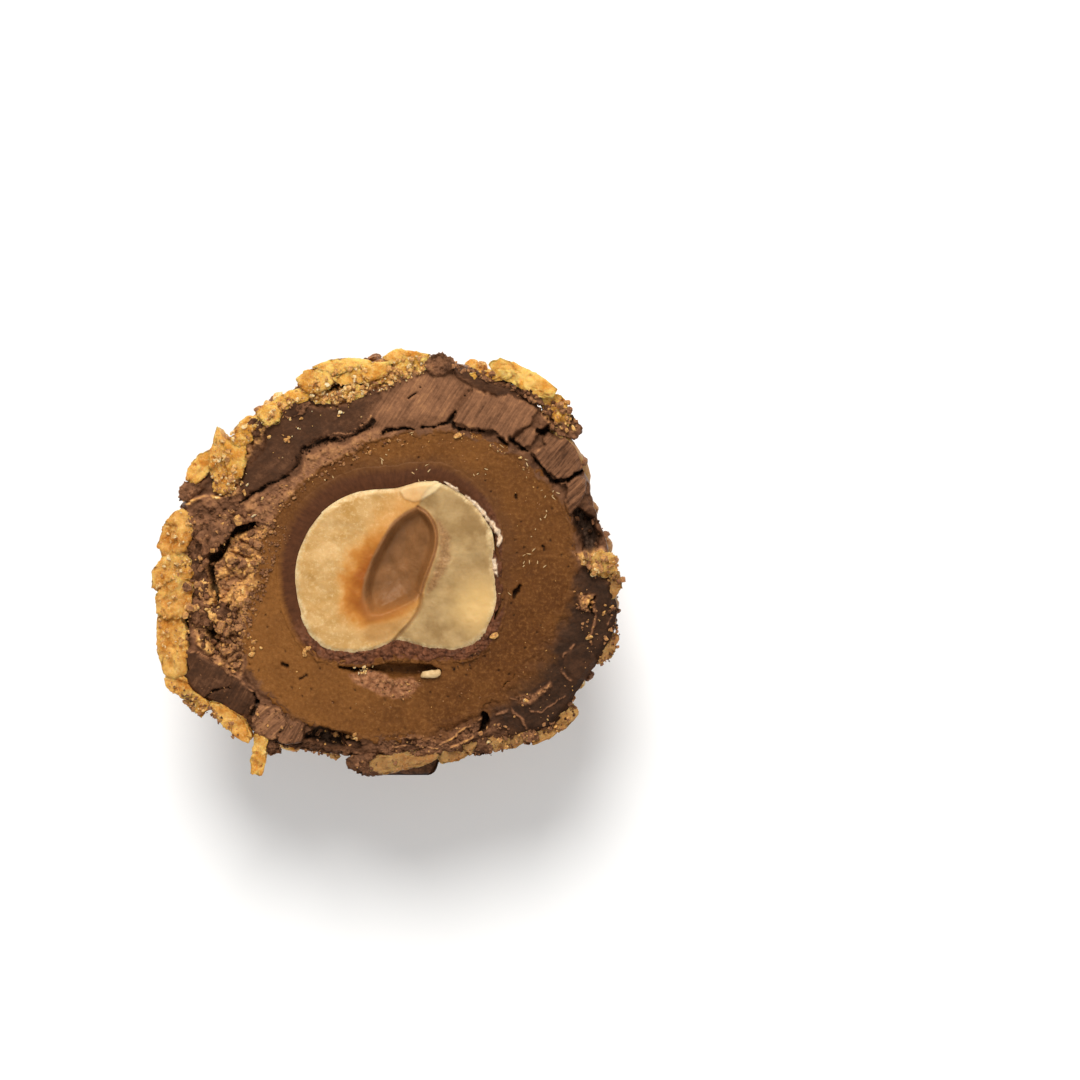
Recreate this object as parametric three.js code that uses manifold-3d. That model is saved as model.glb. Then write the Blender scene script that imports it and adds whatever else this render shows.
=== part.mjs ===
// Half of a hazelnut praline: a ball of chocolate rolled in broken wafer, cut through its middle.
// It lies on its round back, with the cut face up. From the outside in, the cut shows the wafer and
// chocolate shell, a thick caramel filling, a thin dark skin, and the roasted hazelnut with its hollow.
// Millimetres, +Z up. The origin is under the middle of the half, where it rests. +Y is the side that
// was up when the whole praline stood on its flat foot, so the foot is at -Y.
import * as THREE from "three";
import { mergeVertices } from "three/addons/utils/BufferGeometryUtils.js";
import Module from "manifold-3d";

const wasm = await Module();
wasm.setup();

// The whole half
const CUT_HEIGHT = 14.3; // the cut face, above the resting spot
const DOME_DEPTH = 14.8; // how deep the round back would go if it weren't flattened where it rests
const DOME_BULGE = 0.35; // the back is a little fuller than a ball, halfway down
const GAP = 0.2; // the layers touch, and keep this much between their solids

// Radii of each layer at the cut, evenly spaced from +X towards +Y
const SHELL_RADII = [14.9, 14.6, 14.0, 13.6, 13.0, 13.5, 14.5, 15.3, 13.9, 13.2, 14.0, 15.4];
const FILLING_RADII = [10.7, 11.5, 11.1, 10.5, 10.1, 10.4, 10.8, 12.4, 11.6, 10.2, 9.4, 9.2];
const SKIN_THICKNESSES = [0.5, 0.7, 1.1, 1.35, 1.4, 1.3, 1.1, 0.9, 0.85, 1.1, 0.8, 0.6];
const NUT_RADII = [
  6.6, 6.85, 6.75, 6.3, 5.4, 5.6, 6.05, 6.5, 6.85, 7.2, 7.45, 6.3, 5.1, 6.05, 7.45, 7.25,
];
const FILLING_CENTRE = [1.8, -1.4];
const FILLING_DEPTH = 10.9;
const NUT_CENTRE = [0.67, -0.07];
const NUT_DEPTH = 6.4;
const SKIN_DEPTH = 0.9; // the skin's thickness under the nut

// The lens-shaped hollow between the nut's two halves
const HOLLOW = { centre: [1.05, 0.1], halfLength: 4.2, halfWidth: 1.8, depth: 2.3, turn: 65 };

// The flat chocolate foot that the whole praline stood on, behind the cut at the -Y side
const FOOT = { x: 0.4, radius: 3.6, reach: 14.3, thickness: 2.4, setBack: 0.9 };

// Where the shell broke away or cracked as it was cut
const POCKETS = [
  { centre: [13.4, 2.0], half: [1.3, 1.9], depth: 2.4, turn: 0 },
  { centre: [6.5, -10.6], half: [0.45, 0.75], depth: 1.6, turn: -20 },
  { centre: [-4.0, -11.75], half: [1.9, 0.5], depth: 1.2, turn: -8 },
];
const CRACK = {
  path: [[-1.2, 9.3], [-4.0, 8.4], [-6.4, 6.9], [-8.9, 5.2], [-10.5, 2.6], [-11.9, 0.2]],
  widths: [0.15, 0.35, 0.3, 0.4, 0.8, 0.9],
  depth: 1.6,
  steps: 14,
};

// Broken plates of shell that stand proud of the cut: centre, half sides, turn and rise
const PLATES = [
  { centre: [3.2, 10.7], half: [3.6, 1.35], turn: 8, rise: 0.25 },
  { centre: [8.0, 10.3], half: [2.3, 1.3], turn: -24, rise: 0.4 },
  { centre: [11.9, 7.5], half: [1.6, 1.25], turn: -35, rise: 0.45 },
  { centre: [12.6, 4.9], half: [0.8, 1.2], turn: -28, rise: 0.35 },
  { centre: [-7.6, -10.7], half: [1.55, 1.15], turn: -14, rise: 0.6 },
];
const PLATE_SINK = 1.2; // how far each plate goes down into the shell

// The wafer flakes on the round back: three sizes, the largest laid first
const FLAKE_KINDS = [
  { count: 20, length: [4.6, 6.4], lift: 0.25, tilt: 14 },
  { count: 38, length: [2.8, 4.2], lift: 0.35, tilt: 26 },
  { count: 50, length: [1.7, 2.6], lift: 0.4, tilt: 40 },
];
const FLAKE_THICKNESS = [0.75, 1.05];
const FLAKE_SIDES = 6;
const FLAKE_TRIES = 60; // places tried for each flake before it is laid where it is least crowded
const FLAKE_TOP_DIP = 9; // degrees below the cut, above which only the rim's own flakes lie
const FLAKE_SPACING = 0.43; // of the two flakes' lengths together

// The flakes that the cut went through, round the rim: their angle, how far out their middle is,
// their length along the rim, how far down the back they go, thickness and turn from the tangent
const RIM_FLAKES = [
  { at: 2, out: 14.7, length: 2.6, down: 2.6, thick: 0.8, turn: -6 },
  { at: 19, out: 14.2, length: 2.2, down: 3.2, thick: 0.7, turn: 10 },
  { at: 36, out: 15.1, length: 2.8, down: 3.0, thick: 1.2, turn: 10 },
  { at: 54, out: 15.1, length: 4.2, down: 3.4, thick: 1.8, turn: 6 },
  { at: 65, out: 13.9, length: 4.4, down: 3.0, thick: 0.8, turn: -4 },
  { at: 84, out: 13.8, length: 3.4, down: 3.6, thick: 0.9, turn: -2 },
  { at: 101, out: 13.6, length: 4.4, down: 4.0, thick: 0.95, turn: 3 },
  { at: 112, out: 13.35, length: 2.6, down: 3.2, thick: 1.1, turn: -8 },
  { at: 127, out: 13.0, length: 2.8, down: 3.0, thick: 0.8, turn: 4 },
  { at: 136, out: 13.0, length: 2.6, down: 3.6, thick: 0.9, turn: -6 },
  { at: 144, out: 13.5, length: 3.6, down: 3.8, thick: 1.1, turn: 22 },
  { at: 157, out: 14.2, length: 3.0, down: 3.2, thick: 0.9, turn: -10 },
  { at: 170, out: 14.3, length: 3.2, down: 3.4, thick: 1.1, turn: -4 },
  { at: 181, out: 14.4, length: 2.6, down: 3.0, thick: 1.1, turn: 5 },
  { at: 188, out: 14.6, length: 2.0, down: 2.6, thick: 1.0, turn: -9 },
  { at: 200, out: 15.2, length: 4.0, down: 4.2, thick: 1.2, turn: 5 },
  { at: 209, out: 15.5, length: 2.0, down: 3.2, thick: 1.2, turn: 8 },
  { at: 218, out: 15.0, length: 2.6, down: 3.0, thick: 1.4, turn: -6 },
  { at: 227, out: 14.6, length: 3.4, down: 3.0, thick: 0.9, turn: 4 },
  { at: 252, out: 13.3, length: 3.2, down: 2.4, thick: 0.7, turn: 4 },
  { at: 274, out: 13.4, length: 4.6, down: 2.8, thick: 1.1, turn: -3 },
  { at: 291, out: 13.5, length: 2.4, down: 2.8, thick: 0.9, turn: 8 },
  { at: 303, out: 14.0, length: 2.6, down: 3.0, thick: 1.0, turn: 8 },
  { at: 316, out: 15.2, length: 3.0, down: 3.2, thick: 1.3, turn: 8 },
  { at: 330, out: 15.2, length: 2.8, down: 3.0, thick: 0.8, turn: 0 },
  { at: 344, out: 15.15, length: 2.6, down: 2.8, thick: 1.0, turn: -4 },
];
const RIM_FLAKE_RISE = 0.2; // the rim's flakes broke off about this far above the cut
// One flake hangs out from the rim beside the loose chunk of shell
const HANGING_FLAKE = { at: 236.6, out: 15.1, length: 1.05, down: 1.6, thick: 3.0, turn: -32 };

const FINEST = 0.03; // what is finer than this is left out of the solids

const rad = THREE.MathUtils.degToRad;
const mix = THREE.MathUtils.lerp;

// A number from 0 to 1 that depends only on the flake and on what it is for.
function chance(flake, use) {
  const wave = Math.sin(flake * 127.1 + use * 311.7) * 43758.5453;
  return wave - Math.floor(wave);
}

// A smooth closed curve through evenly spaced values, read at an angle in radians.
function around(values, angle) {
  const n = values.length;
  const place = (((angle / (2 * Math.PI)) % 1) + 1) % 1 * n;
  const i = Math.floor(place);
  const t = place - i;
  const [a, b, c, d] = [-1, 0, 1, 2].map((k) => values[(i + k + n) % n]);
  return b + 0.5 * t * (c - a + t * (2 * a - 5 * b + 4 * c - d + t * (3 * (b - c) + d - a)));
}

// How far out the round back is, at an angle round it and a dip below the cut.
function domeRadius(angle, dip) {
  const level = Math.cos(dip) ** 2;
  return mix(DOME_DEPTH, around(SHELL_RADII, angle), level) + DOME_BULGE * Math.sin(2 * dip) ** 2;
}

function solidOf(geometry) {
  geometry.deleteAttribute("normal");
  geometry.deleteAttribute("uv");
  const merged = mergeVertices(geometry, 1e-4);
  return new wasm.Manifold(
    new wasm.Mesh({
      numProp: 3,
      vertProperties: merged.attributes.position.array,
      triVerts: new Uint32Array(merged.index.array),
    }),
  );
}

function meshOf(name, solid, colour, roughness) {
  const { vertProperties, triVerts } = solid.getMesh();
  const geometry = new THREE.BufferGeometry();
  geometry.setAttribute("position", new THREE.BufferAttribute(vertProperties, 3));
  geometry.setIndex(new THREE.BufferAttribute(triVerts, 1));
  geometry.computeVertexNormals();
  const mesh = new THREE.Mesh(
    geometry,
    new THREE.MeshStandardMaterial({ color: colour, roughness, metalness: 0 }),
  );
  mesh.name = name;
  return mesh;
}

// A half ball below the cut, with its flat side on it, pulled out to a radius in each direction.
function bowl(radius, centre, sides, rings) {
  const profile = [];
  for (let k = 0; k <= rings; k++) {
    const dip = rad(90 * (1 - k / rings));
    profile.push(new THREE.Vector2(Math.cos(dip) * (k > 0), -Math.sin(dip)));
  }
  profile.push(new THREE.Vector2(0, 0));
  const geometry = new THREE.LatheGeometry(profile, sides).rotateX(Math.PI / 2);
  const points = geometry.attributes.position;
  const v = new THREE.Vector3();
  for (let i = 0; i < points.count; i++) {
    v.fromBufferAttribute(points, i);
    if (v.length() > 0.5) v.multiplyScalar(radius(Math.atan2(v.y, v.x), Math.asin(-v.z)));
    points.setXYZ(i, v.x + centre[0], v.y + centre[1], v.z + CUT_HEIGHT);
  }
  return solidOf(geometry);
}

// A layer's bowl: its radii at the cut run smoothly into its depth.
function layer(radii, depth, centre, extra, sides, rings) {
  const radius = (angle, dip) =>
    mix(depth, around(radii, angle), Math.cos(dip) ** 2) + extra(angle, dip);
  return bowl(radius, centre, sides, rings);
}

// A closed flat shape, pushed out by its thickness, with its middle at the origin.
function slab(corners, thickness) {
  const shape = new THREE.Shape(corners.map(([x, y]) => new THREE.Vector2(x, y)));
  const geometry = new THREE.ExtrudeGeometry(shape, { depth: thickness, bevelEnabled: false });
  return geometry.translate(0, 0, -thickness / 2);
}

// A box whose sides aren't quite square, as a broken plate has.
function brokenPlate({ centre, half, turn, rise }) {
  const [w, h] = half;
  const corners = [[-w, -h * 0.8], [w * 0.85, -h], [w, h * 0.7], [w * 0.3, h], [-w * 0.9, h * 0.85]];
  const height = rise + PLATE_SINK;
  const geometry = slab(corners, height)
    .rotateZ(rad(turn))
    .translate(centre[0], centre[1], CUT_HEIGHT + rise - height / 2);
  return solidOf(geometry);
}

function pocket({ centre, half, depth, turn }) {
  const geometry = new THREE.SphereGeometry(1, 12, 8)
    .scale(half[0], half[1], depth)
    .rotateZ(rad(turn))
    .translate(centre[0], centre[1], CUT_HEIGHT);
  return solidOf(geometry);
}

// The long crack follows a curve, and its two walls stand the crack's width apart.
function crack({ path, widths, depth, steps }) {
  const curve = new THREE.CatmullRomCurve3(path.map(([x, y]) => new THREE.Vector3(x, y, 0)));
  const left = [];
  const right = [];
  for (let k = 0; k <= steps; k++) {
    const t = k / steps;
    const spot = curve.getPoint(t);
    const along = curve.getTangent(t);
    const place = t * (widths.length - 1);
    const i = Math.min(Math.floor(place), widths.length - 2);
    const half = mix(widths[i], widths[i + 1], place - i) / 2;
    left.push([spot.x - along.y * half, spot.y + along.x * half]);
    right.unshift([spot.x + along.y * half, spot.y - along.x * half]);
  }
  return solidOf(slab([...left, ...right], 2 * depth).translate(0, 0, CUT_HEIGHT));
}

// An uneven flat piece: a ring of corners at chance distances.
function flakeCorners(seed, length) {
  const width = length * mix(0.55, 0.85, chance(seed, 5));
  return Array.from({ length: FLAKE_SIDES }, (_, k) => {
    const angle = (2 * Math.PI * (k + 0.5 * chance(seed, 20 + k))) / FLAKE_SIDES;
    const reach = mix(0.8, 1.12, chance(seed, 30 + k)) / 2;
    return [Math.cos(angle) * reach * length, Math.sin(angle) * reach * width];
  });
}

// Where the flakes lie on the back: each takes the least crowded of a few chance places.
function flakePlaces() {
  const placed = [];
  const topSine = Math.sin(rad(FLAKE_TOP_DIP));
  FLAKE_KINDS.forEach((kind, k) => {
    for (let i = 0; i < kind.count; i++) {
      const seed = 100 * k + i + 1;
      const length = mix(...kind.length, chance(seed, 1));
      let best = null;
      for (let t = 0; t < FLAKE_TRIES; t++) {
        const angle = 2 * Math.PI * chance(seed, 40 + t);
        const sine = mix(topSine, 1, chance(seed, 140 + t));
        const dip = Math.asin(sine);
        const out = new THREE.Vector3(
          Math.cos(angle) * Math.cos(dip), Math.sin(angle) * Math.cos(dip), -sine,
        );
        const room = Math.min(
          9,
          ...placed.map((p) => out.angleTo(p.out) * DOME_DEPTH - FLAKE_SPACING * (p.length + length)),
        );
        if (!best || room > best.room) best = { seed, kind, length, angle, dip, out, room };
        if (room > 0) break;
      }
      placed.push(best);
    }
  });
  return placed;
}

// Turns a flat piece so that it lies on the back at an angle and dip, then lays it there.
function layOnBack(geometry, angle, dip, radius) {
  return geometry
    .rotateY(Math.PI / 2 + dip)
    .rotateZ(angle)
    .translate(
      radius * Math.cos(dip) * Math.cos(angle),
      radius * Math.cos(dip) * Math.sin(angle),
      CUT_HEIGHT - radius * Math.sin(dip),
    );
}

function backFlake({ seed, kind, length, angle, dip }) {
  const thickness = mix(...FLAKE_THICKNESS, chance(seed, 2));
  const geometry = slab(flakeCorners(seed, length), thickness)
    .rotateZ(2 * Math.PI * chance(seed, 3))
    .rotateX(rad(kind.tilt * (2 * chance(seed, 4) - 1)));
  return solidOf(layOnBack(geometry, angle, dip, domeRadius(angle, dip) + kind.lift - thickness / 2));
}

function rimFlake({ at, out, length, down, thick, turn }, index) {
  const seed = 500 + index;
  const height = down + RIM_FLAKE_RISE;
  const corners = [
    [-length / 2, height / 2],
    [-length * mix(0.4, 0.55, chance(seed, 1)), -height * 0.2],
    [-length * mix(0.1, 0.3, chance(seed, 2)), -height / 2],
    [length * mix(0.2, 0.4, chance(seed, 3)), -height * 0.4],
    [length * mix(0.45, 0.55, chance(seed, 4)), height * 0.1],
    [length / 2, height / 2],
  ];
  const lean = Math.asin(Math.min(0.3, height / 2 / out));
  const geometry = slab(corners, thick)
    .rotateX(Math.PI / 2)
    .rotateX(lean)
    .rotateZ(rad(turn))
    .translate(0, -out + 0.1, 0)
    .rotateZ(rad(at + 90))
    .translate(0, 0, CUT_HEIGHT + RIM_FLAKE_RISE - height / 2);
  return solidOf(geometry);
}

function foot({ x, radius, reach, thickness, setBack }) {
  const disc = new THREE.CylinderGeometry(radius, radius, thickness, 24).translate(
    x, -reach + thickness / 2, CUT_HEIGHT,
  );
  const side = 4 * radius;
  const front = new THREE.BoxGeometry(side, side, side).translate(
    x, -reach, CUT_HEIGHT - setBack + side / 2,
  );
  return solidOf(disc).subtract(solidOf(front));
}

const joined = (solids) => solids.reduce((whole, next) => whole.add(next));

// The wafer and chocolate shell
function shell() {
  const back = bowl(domeRadius, [0, 0], 52, 14);
  const flakes = flakePlaces().map(backFlake);
  const rim = [...RIM_FLAKES, HANGING_FLAKE].map(rimFlake);
  const rough = joined([back, foot(FOOT), ...flakes, ...rim, ...PLATES.map(brokenPlate)]);
  const room = layer(
    FILLING_RADII, FILLING_DEPTH, FILLING_CENTRE, () => GAP, 40, 9,
  );
  const floor = new THREE.BoxGeometry(60, 60, 10).translate(0, 0, -5);
  const hollows = joined([crack(CRACK), ...POCKETS.map(pocket)]);
  return rough.subtract(room).subtract(hollows).subtract(solidOf(floor));
}

const skinRadius = (extra) => (angle, dip) =>
  mix(SKIN_DEPTH, around(SKIN_THICKNESSES, angle), Math.cos(dip) ** 2) + extra;

function nutLayer(extra) {
  return layer(NUT_RADII, NUT_DEPTH, NUT_CENTRE, extra, 36, 8);
}

function filling() {
  const whole = layer(FILLING_RADII, FILLING_DEPTH, FILLING_CENTRE, () => 0, 40, 9);
  return whole.subtract(nutLayer(skinRadius(GAP)));
}

function skin() {
  return nutLayer(skinRadius(0)).subtract(nutLayer(() => GAP));
}

function hazelnut() {
  const { centre, halfLength, halfWidth, depth, turn } = HOLLOW;
  return nutLayer(() => 0).subtract(
    pocket({ centre, half: [halfLength, halfWidth], depth, turn }),
  );
}

// The one whole body of a solid, without loose scraps or slivers too fine to matter.
const largest = (solid) =>
  solid.simplify(FINEST).decompose().reduce((a, b) => (b.volume() > a.volume() ? b : a));

const praline = new THREE.Group();
praline.add(meshOf("wafer_and_chocolate_shell", largest(shell()), 0x8a5a34, 0.6));
praline.add(meshOf("caramel_filling", largest(filling()), 0x7a4b24, 0.4));
praline.add(meshOf("nut_skin", largest(skin()), 0x4f2f20, 0.6));
praline.add(meshOf("hazelnut", largest(hazelnut()), 0xe0c08c, 0.45));

export default praline;
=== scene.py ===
# %% [markdown]
# # A hazelnut praline, cut in half
# This lesson dresses one half of a praline: a ball of chocolate that was rolled in broken wafer, then
# cut through. The half lies on its round back with the cut face up. From the outside in, the cut shows
# wafer and chocolate, a thick caramel filling, a thin dark skin, and a roasted nut with its hollow.
# The plain solids of the half are already there, in metres. Finer pieces take the place of each, and
# flakes, lumps and crumbs come with the outer one.

import math

import bpy
import numpy as np
from mathutils import Matrix, Vector
from mathutils.kdtree import KDTree


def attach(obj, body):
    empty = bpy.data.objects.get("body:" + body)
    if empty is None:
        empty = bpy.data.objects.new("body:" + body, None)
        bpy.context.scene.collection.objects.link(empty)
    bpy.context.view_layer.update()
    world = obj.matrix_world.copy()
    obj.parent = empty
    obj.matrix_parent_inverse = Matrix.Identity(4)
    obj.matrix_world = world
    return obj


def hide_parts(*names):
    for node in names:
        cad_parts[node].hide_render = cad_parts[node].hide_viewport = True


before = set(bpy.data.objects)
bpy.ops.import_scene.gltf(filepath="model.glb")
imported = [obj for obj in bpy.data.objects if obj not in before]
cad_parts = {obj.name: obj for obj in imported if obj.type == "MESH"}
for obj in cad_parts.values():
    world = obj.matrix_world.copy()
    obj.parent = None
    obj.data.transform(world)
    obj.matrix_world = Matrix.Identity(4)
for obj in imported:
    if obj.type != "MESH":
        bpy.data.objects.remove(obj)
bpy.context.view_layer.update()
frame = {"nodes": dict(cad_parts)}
print("plain solids:", ", ".join(frame["nodes"]))

# %% [markdown]
# ## Sizes
# Every outline of the cut is a list of radii in millimetres, evenly spaced from +X towards +Y. A smooth
# closed curve runs through them. The solids were made from the same numbers, so the finer pieces fit.

# %% Sizes in millimetres
MM = 0.001
CUT = 14.3  # height of the cut face above the table
DOME_DEPTH = 14.8
DOME_BULGE = 0.35
SHELL_EDGE = [
    15.1, 14.4, 14.8, 14.7, 14.6, 14.1, 13.8, 13.7, 13.3, 13.3, 13.8, 14.2,
    14.9, 15.5, 15.8, 14.9, 14.2, 13.4, 13.5, 13.7, 14.1, 15.5, 15.5, 15.8,
]
FILLING_RADII = [10.7, 11.5, 11.1, 10.5, 10.1, 10.4, 10.8, 12.4, 11.6, 10.2, 9.4, 9.2]
SKIN_THICKNESSES = [0.5, 0.7, 1.1, 1.35, 1.4, 1.3, 1.1, 0.9, 0.85, 1.1, 0.8, 0.6]
NUT_RADII = [6.6, 6.85, 6.75, 6.3, 5.4, 5.6, 6.05, 6.5, 6.85, 7.2, 7.45, 6.3, 5.1, 6.05, 7.45, 7.25]
FILLING_CENTRE = (1.8, -1.4)
FILLING_DEPTH = 10.9
NUT_CENTRE = (0.67, -0.07)
NUT_DEPTH = 6.4
SKIN_DEPTH = 0.9
print("the cut face is", CUT, "mm above the table")

# %% [markdown]
# ## Curves and repeatable noise
# Food is never smooth, so most pieces are simple shapes whose points are then moved by noise. Blender's
# own noise is read one point at a time. These few functions read a hundred thousand points at once, and
# give the same numbers on every run.

# %% Curves and noise
def around(values, angle):
    """A smooth closed curve through evenly spaced values."""
    values = np.asarray(values, float)
    n = len(values)
    place = (angle / math.tau % 1.0) * n
    i = np.floor(place).astype(int)
    t = place - i
    a, b, c, d = (values[(i + k) % n] for k in (-1, 0, 1, 2))
    return b + 0.5 * t * (c - a + t * (2 * a - 5 * b + 4 * c - d + t * (3 * (b - c) + d - a)))


def step(low, high, value):
    """0 below low, 1 above high, and a smooth rise between."""
    t = np.clip((value - low) / (high - low), 0.0, 1.0)
    return t * t * (3.0 - 2.0 * t)


def mix(a, b, t):
    return a + (b - a) * t


def cell_value(cell, seed):
    """A repeatable number from 0 to 1 for each whole-number cell, flat or solid."""
    h = np.full(cell.shape[:-1], seed * 974634777, np.int64)
    for k, factor in zip(range(cell.shape[-1]), (374761393, 668265263, 1274126177)):
        h += cell[..., k].astype(np.int64) * factor
    h &= 0x7FFFFFFF
    h = ((h ^ (h >> 13)) * 1103515245) & 0x7FFFFFFF
    h = ((h ^ (h >> 11)) * 668265263) & 0x7FFFFFFF
    return ((h ^ (h >> 15)) & 0xFFFFFF) / 0xFFFFFF


def noise(points, size, seed):
    """Soft noise from -1 to 1, whose lumps are about size across."""
    p = points / size
    base = np.floor(p)
    f = p - base
    f = f * f * f * (f * (f * 6 - 15) + 10)
    total = 0.0
    for corner in np.ndindex(*(2,) * p.shape[-1]):
        weight = np.prod(np.where(corner, f, 1 - f), axis=-1)
        total = total + weight * cell_value(base + corner, seed)
    return total * 2 - 1


def rough(points, size, seed, octaves=4, keep=0.5):
    """Noise on noise: each octave is half the size of the last, and keeps part of its height."""
    total, height, most = 0.0, 1.0, 0.0
    for k in range(octaves):
        total = total + height * noise(points, size / 2**k, seed + 17 * k)
        most += height
        height *= keep
    return total / most


def wandering(flat, by, size, seed):
    """Flat places pushed a little to and fro, so that lines drawn over them come out uneven."""
    return flat + by * np.stack([rough(flat, size, seed), rough(flat, size, seed + 1)], axis=-1)


def cells(points, size, seed):
    """Grains: distance to the nearest middle, to the next one, the grain's value, the way from its middle."""
    p = points / size
    base = np.floor(p)
    near = np.full(len(p), 9.0)
    next_near = near.copy()
    own = np.zeros(len(p))
    away = np.zeros(p.shape)
    for shift in np.ndindex(*(3,) * p.shape[-1]):
        cell = base + shift - 1
        gap = p - cell - np.stack([cell_value(cell, seed + q) for q in range(p.shape[-1])], axis=-1)
        far = np.linalg.norm(gap, axis=-1)
        closer = far < near
        next_near = np.where(closer, near, np.minimum(next_near, far))
        own = np.where(closer, cell_value(cell, seed + 9), own)
        away = np.where(closer[:, None], gap, away)
        near = np.where(closer, far, near)
    return near, next_near, own, away


def broken(points, size, seed, tilt=0.5):
    """Angular crumbs from 0 to 1: each has its own height and slope, and a gap round it."""
    near, next_near, own, away = cells(points, size, seed)
    lean = math.tau * own * 7
    slope = tilt * (away[:, 0] * np.cos(lean) + away[:, 1] * np.sin(lean))
    return np.clip(0.35 + 0.65 * own + slope, 0, 1) * step(0.0, 0.2, next_near - near), own


def to_points(x, y, z=0.0):
    return np.stack([x, y, np.broadcast_to(z, np.shape(x))], axis=-1).astype(float)


# %% [markdown]
# ## Handling pieces
# A mesh made by hand in Blender starts from one primitive or profile, and operators shape it. These
# helpers select one object, read and write its points, and keep painted values with it.

# %% Helpers for pieces
def only(obj):
    bpy.ops.object.select_all(action="DESELECT")
    obj.select_set(True)
    bpy.context.view_layer.objects.active = obj


def read_points(obj):
    flat = np.empty(len(obj.data.vertices) * 3)
    obj.data.vertices.foreach_get("co", flat)
    return flat.reshape(-1, 3)


def write_points(obj, points):
    obj.data.vertices.foreach_set("co", np.ascontiguousarray(points, dtype=float).ravel())
    obj.data.update()


def add_object(name, data):
    obj = bpy.data.objects.new(name, data)
    bpy.context.collection.objects.link(obj)
    return obj


def paint(obj, name, values):
    """Keeps a value from 0 to 1 at each point, for the material to read."""
    layer = obj.data.attributes.new(name, "FLOAT", "POINT")
    layer.data.foreach_set("value", np.clip(values, 0, 1).astype(np.float32))


def paint_grain(obj, values):
    """Keeps a direction at each point, along which the material draws its ribs."""
    layer = obj.data.attributes.new("grain", "FLOAT_VECTOR", "POINT")
    layer.data.foreach_set("vector", np.ascontiguousarray(values * MM, np.float32).ravel())


def spread_over(where, values):
    """Values for every point: the given ones where asked, and 0 elsewhere."""
    whole = np.zeros((len(where),) + np.shape(values)[1:])
    whole[where] = values
    return whole


def close_up(obj, smooth=True):
    """Welds doubled points, turns the faces outward and smooths the shading."""
    only(obj)
    bpy.ops.object.mode_set(mode="EDIT")
    bpy.ops.mesh.select_all(action="SELECT")
    bpy.ops.mesh.remove_doubles(threshold=0.002 * MM)
    bpy.ops.mesh.normals_make_consistent(inside=False)
    bpy.ops.object.mode_set(mode="OBJECT")
    if smooth:
        bpy.ops.object.shade_smooth()
    return obj


def triangles(obj):
    return sum(len(face.vertices) - 2 for face in obj.data.polygons)


def finish_layer(obj, points, on_face, found):
    """Gives a spun layer its points and what was painted on its cut face."""
    write_points(obj, points * MM)
    for name, values in found.items():
        paint(obj, name, spread_over(on_face, values))
    close_up(obj)
    print(obj.name + ":", triangles(obj), "triangles")


# %% [markdown]
# ## Layers by spinning
# Each layer of the praline is a bowl with a flat rim. A lathe shape suits it: one profile, running down
# the inner wall, across the rim and down the outer wall, is turned round the axis by a screw modifier.
# That gives an even grid of points whose place in the profile is still easy to read, so each point can
# then be pulled to the layer's real, uneven outline.

# %% Spin a layer
INNER, FACE, OUTER = 0, 1, 2


def spun_layer(name, steps, inner_rows, face_rows, outer_rows, hollow=True):
    """Returns the spun piece, and for each point its angle, its part of the profile and its place there."""
    profile = []
    if hollow:
        profile += [(1.0, -1 + k / inner_rows) for k in range(inner_rows)]
    first = 1.0 if hollow else 0.0
    profile += [(first + (2.0 - first) * k / face_rows, 0.0) for k in range(face_rows + 1)]
    profile += [(2.0, -(k + 1) / outer_rows) for k in range(outer_rows)]
    mesh = bpy.data.meshes.new(name)
    mesh.from_pydata([(x, 0, z) for x, z in profile], [(k, k + 1) for k in range(len(profile) - 1)], [])
    piece = add_object(name, mesh)
    only(piece)
    bpy.ops.object.modifier_add(type="SCREW")
    screw = piece.modifiers[0]
    screw.axis = "Z"
    screw.angle = math.tau
    screw.steps = steps
    screw.use_merge_vertices = True
    screw.merge_threshold = 0.00001
    bpy.ops.object.modifier_apply(modifier=screw.name)
    p = read_points(piece)
    reach = np.hypot(p[:, 0], p[:, 1])
    angle = np.arctan2(p[:, 1], p[:, 0])
    part = np.where(p[:, 2] > -1e-6, FACE, np.where(reach > 1.5, OUTER, INNER))
    place = np.where(part == FACE, (reach - first) / (2.0 - first), -p[:, 2])
    return piece, angle, part, np.clip(place, 0, 1)


def dome_radius(angle, dip):
    level = np.cos(dip) ** 2
    return mix(DOME_DEPTH, around(SHELL_EDGE, angle), level) + DOME_BULGE * np.sin(2 * dip) ** 2


def bowl_point(radius, centre, angle, dip):
    """A point on a half ball under the cut, at an angle round it and a dip below the cut."""
    level = radius * np.cos(dip)
    return to_points(
        centre[0] + level * np.cos(angle), centre[1] + level * np.sin(angle), CUT - radius * np.sin(dip)
    )


def layer_radius(radii, depth, angle, dip, extra=0.0):
    return mix(depth, around(radii, angle), np.cos(dip) ** 2) + extra


# %% [markdown]
# ## What the knife left on the cut
# The knife didn't slice the chocolate, it broke it: smooth plates, ribbed shards, flaky bands, crumbs,
# and porous wafer at the rim. Each is a polygon with a ragged edge, drawn as a height over the cut face,
# later ones over earlier ones. The outlines were read off the cut in millimetres from its middle.

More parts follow.
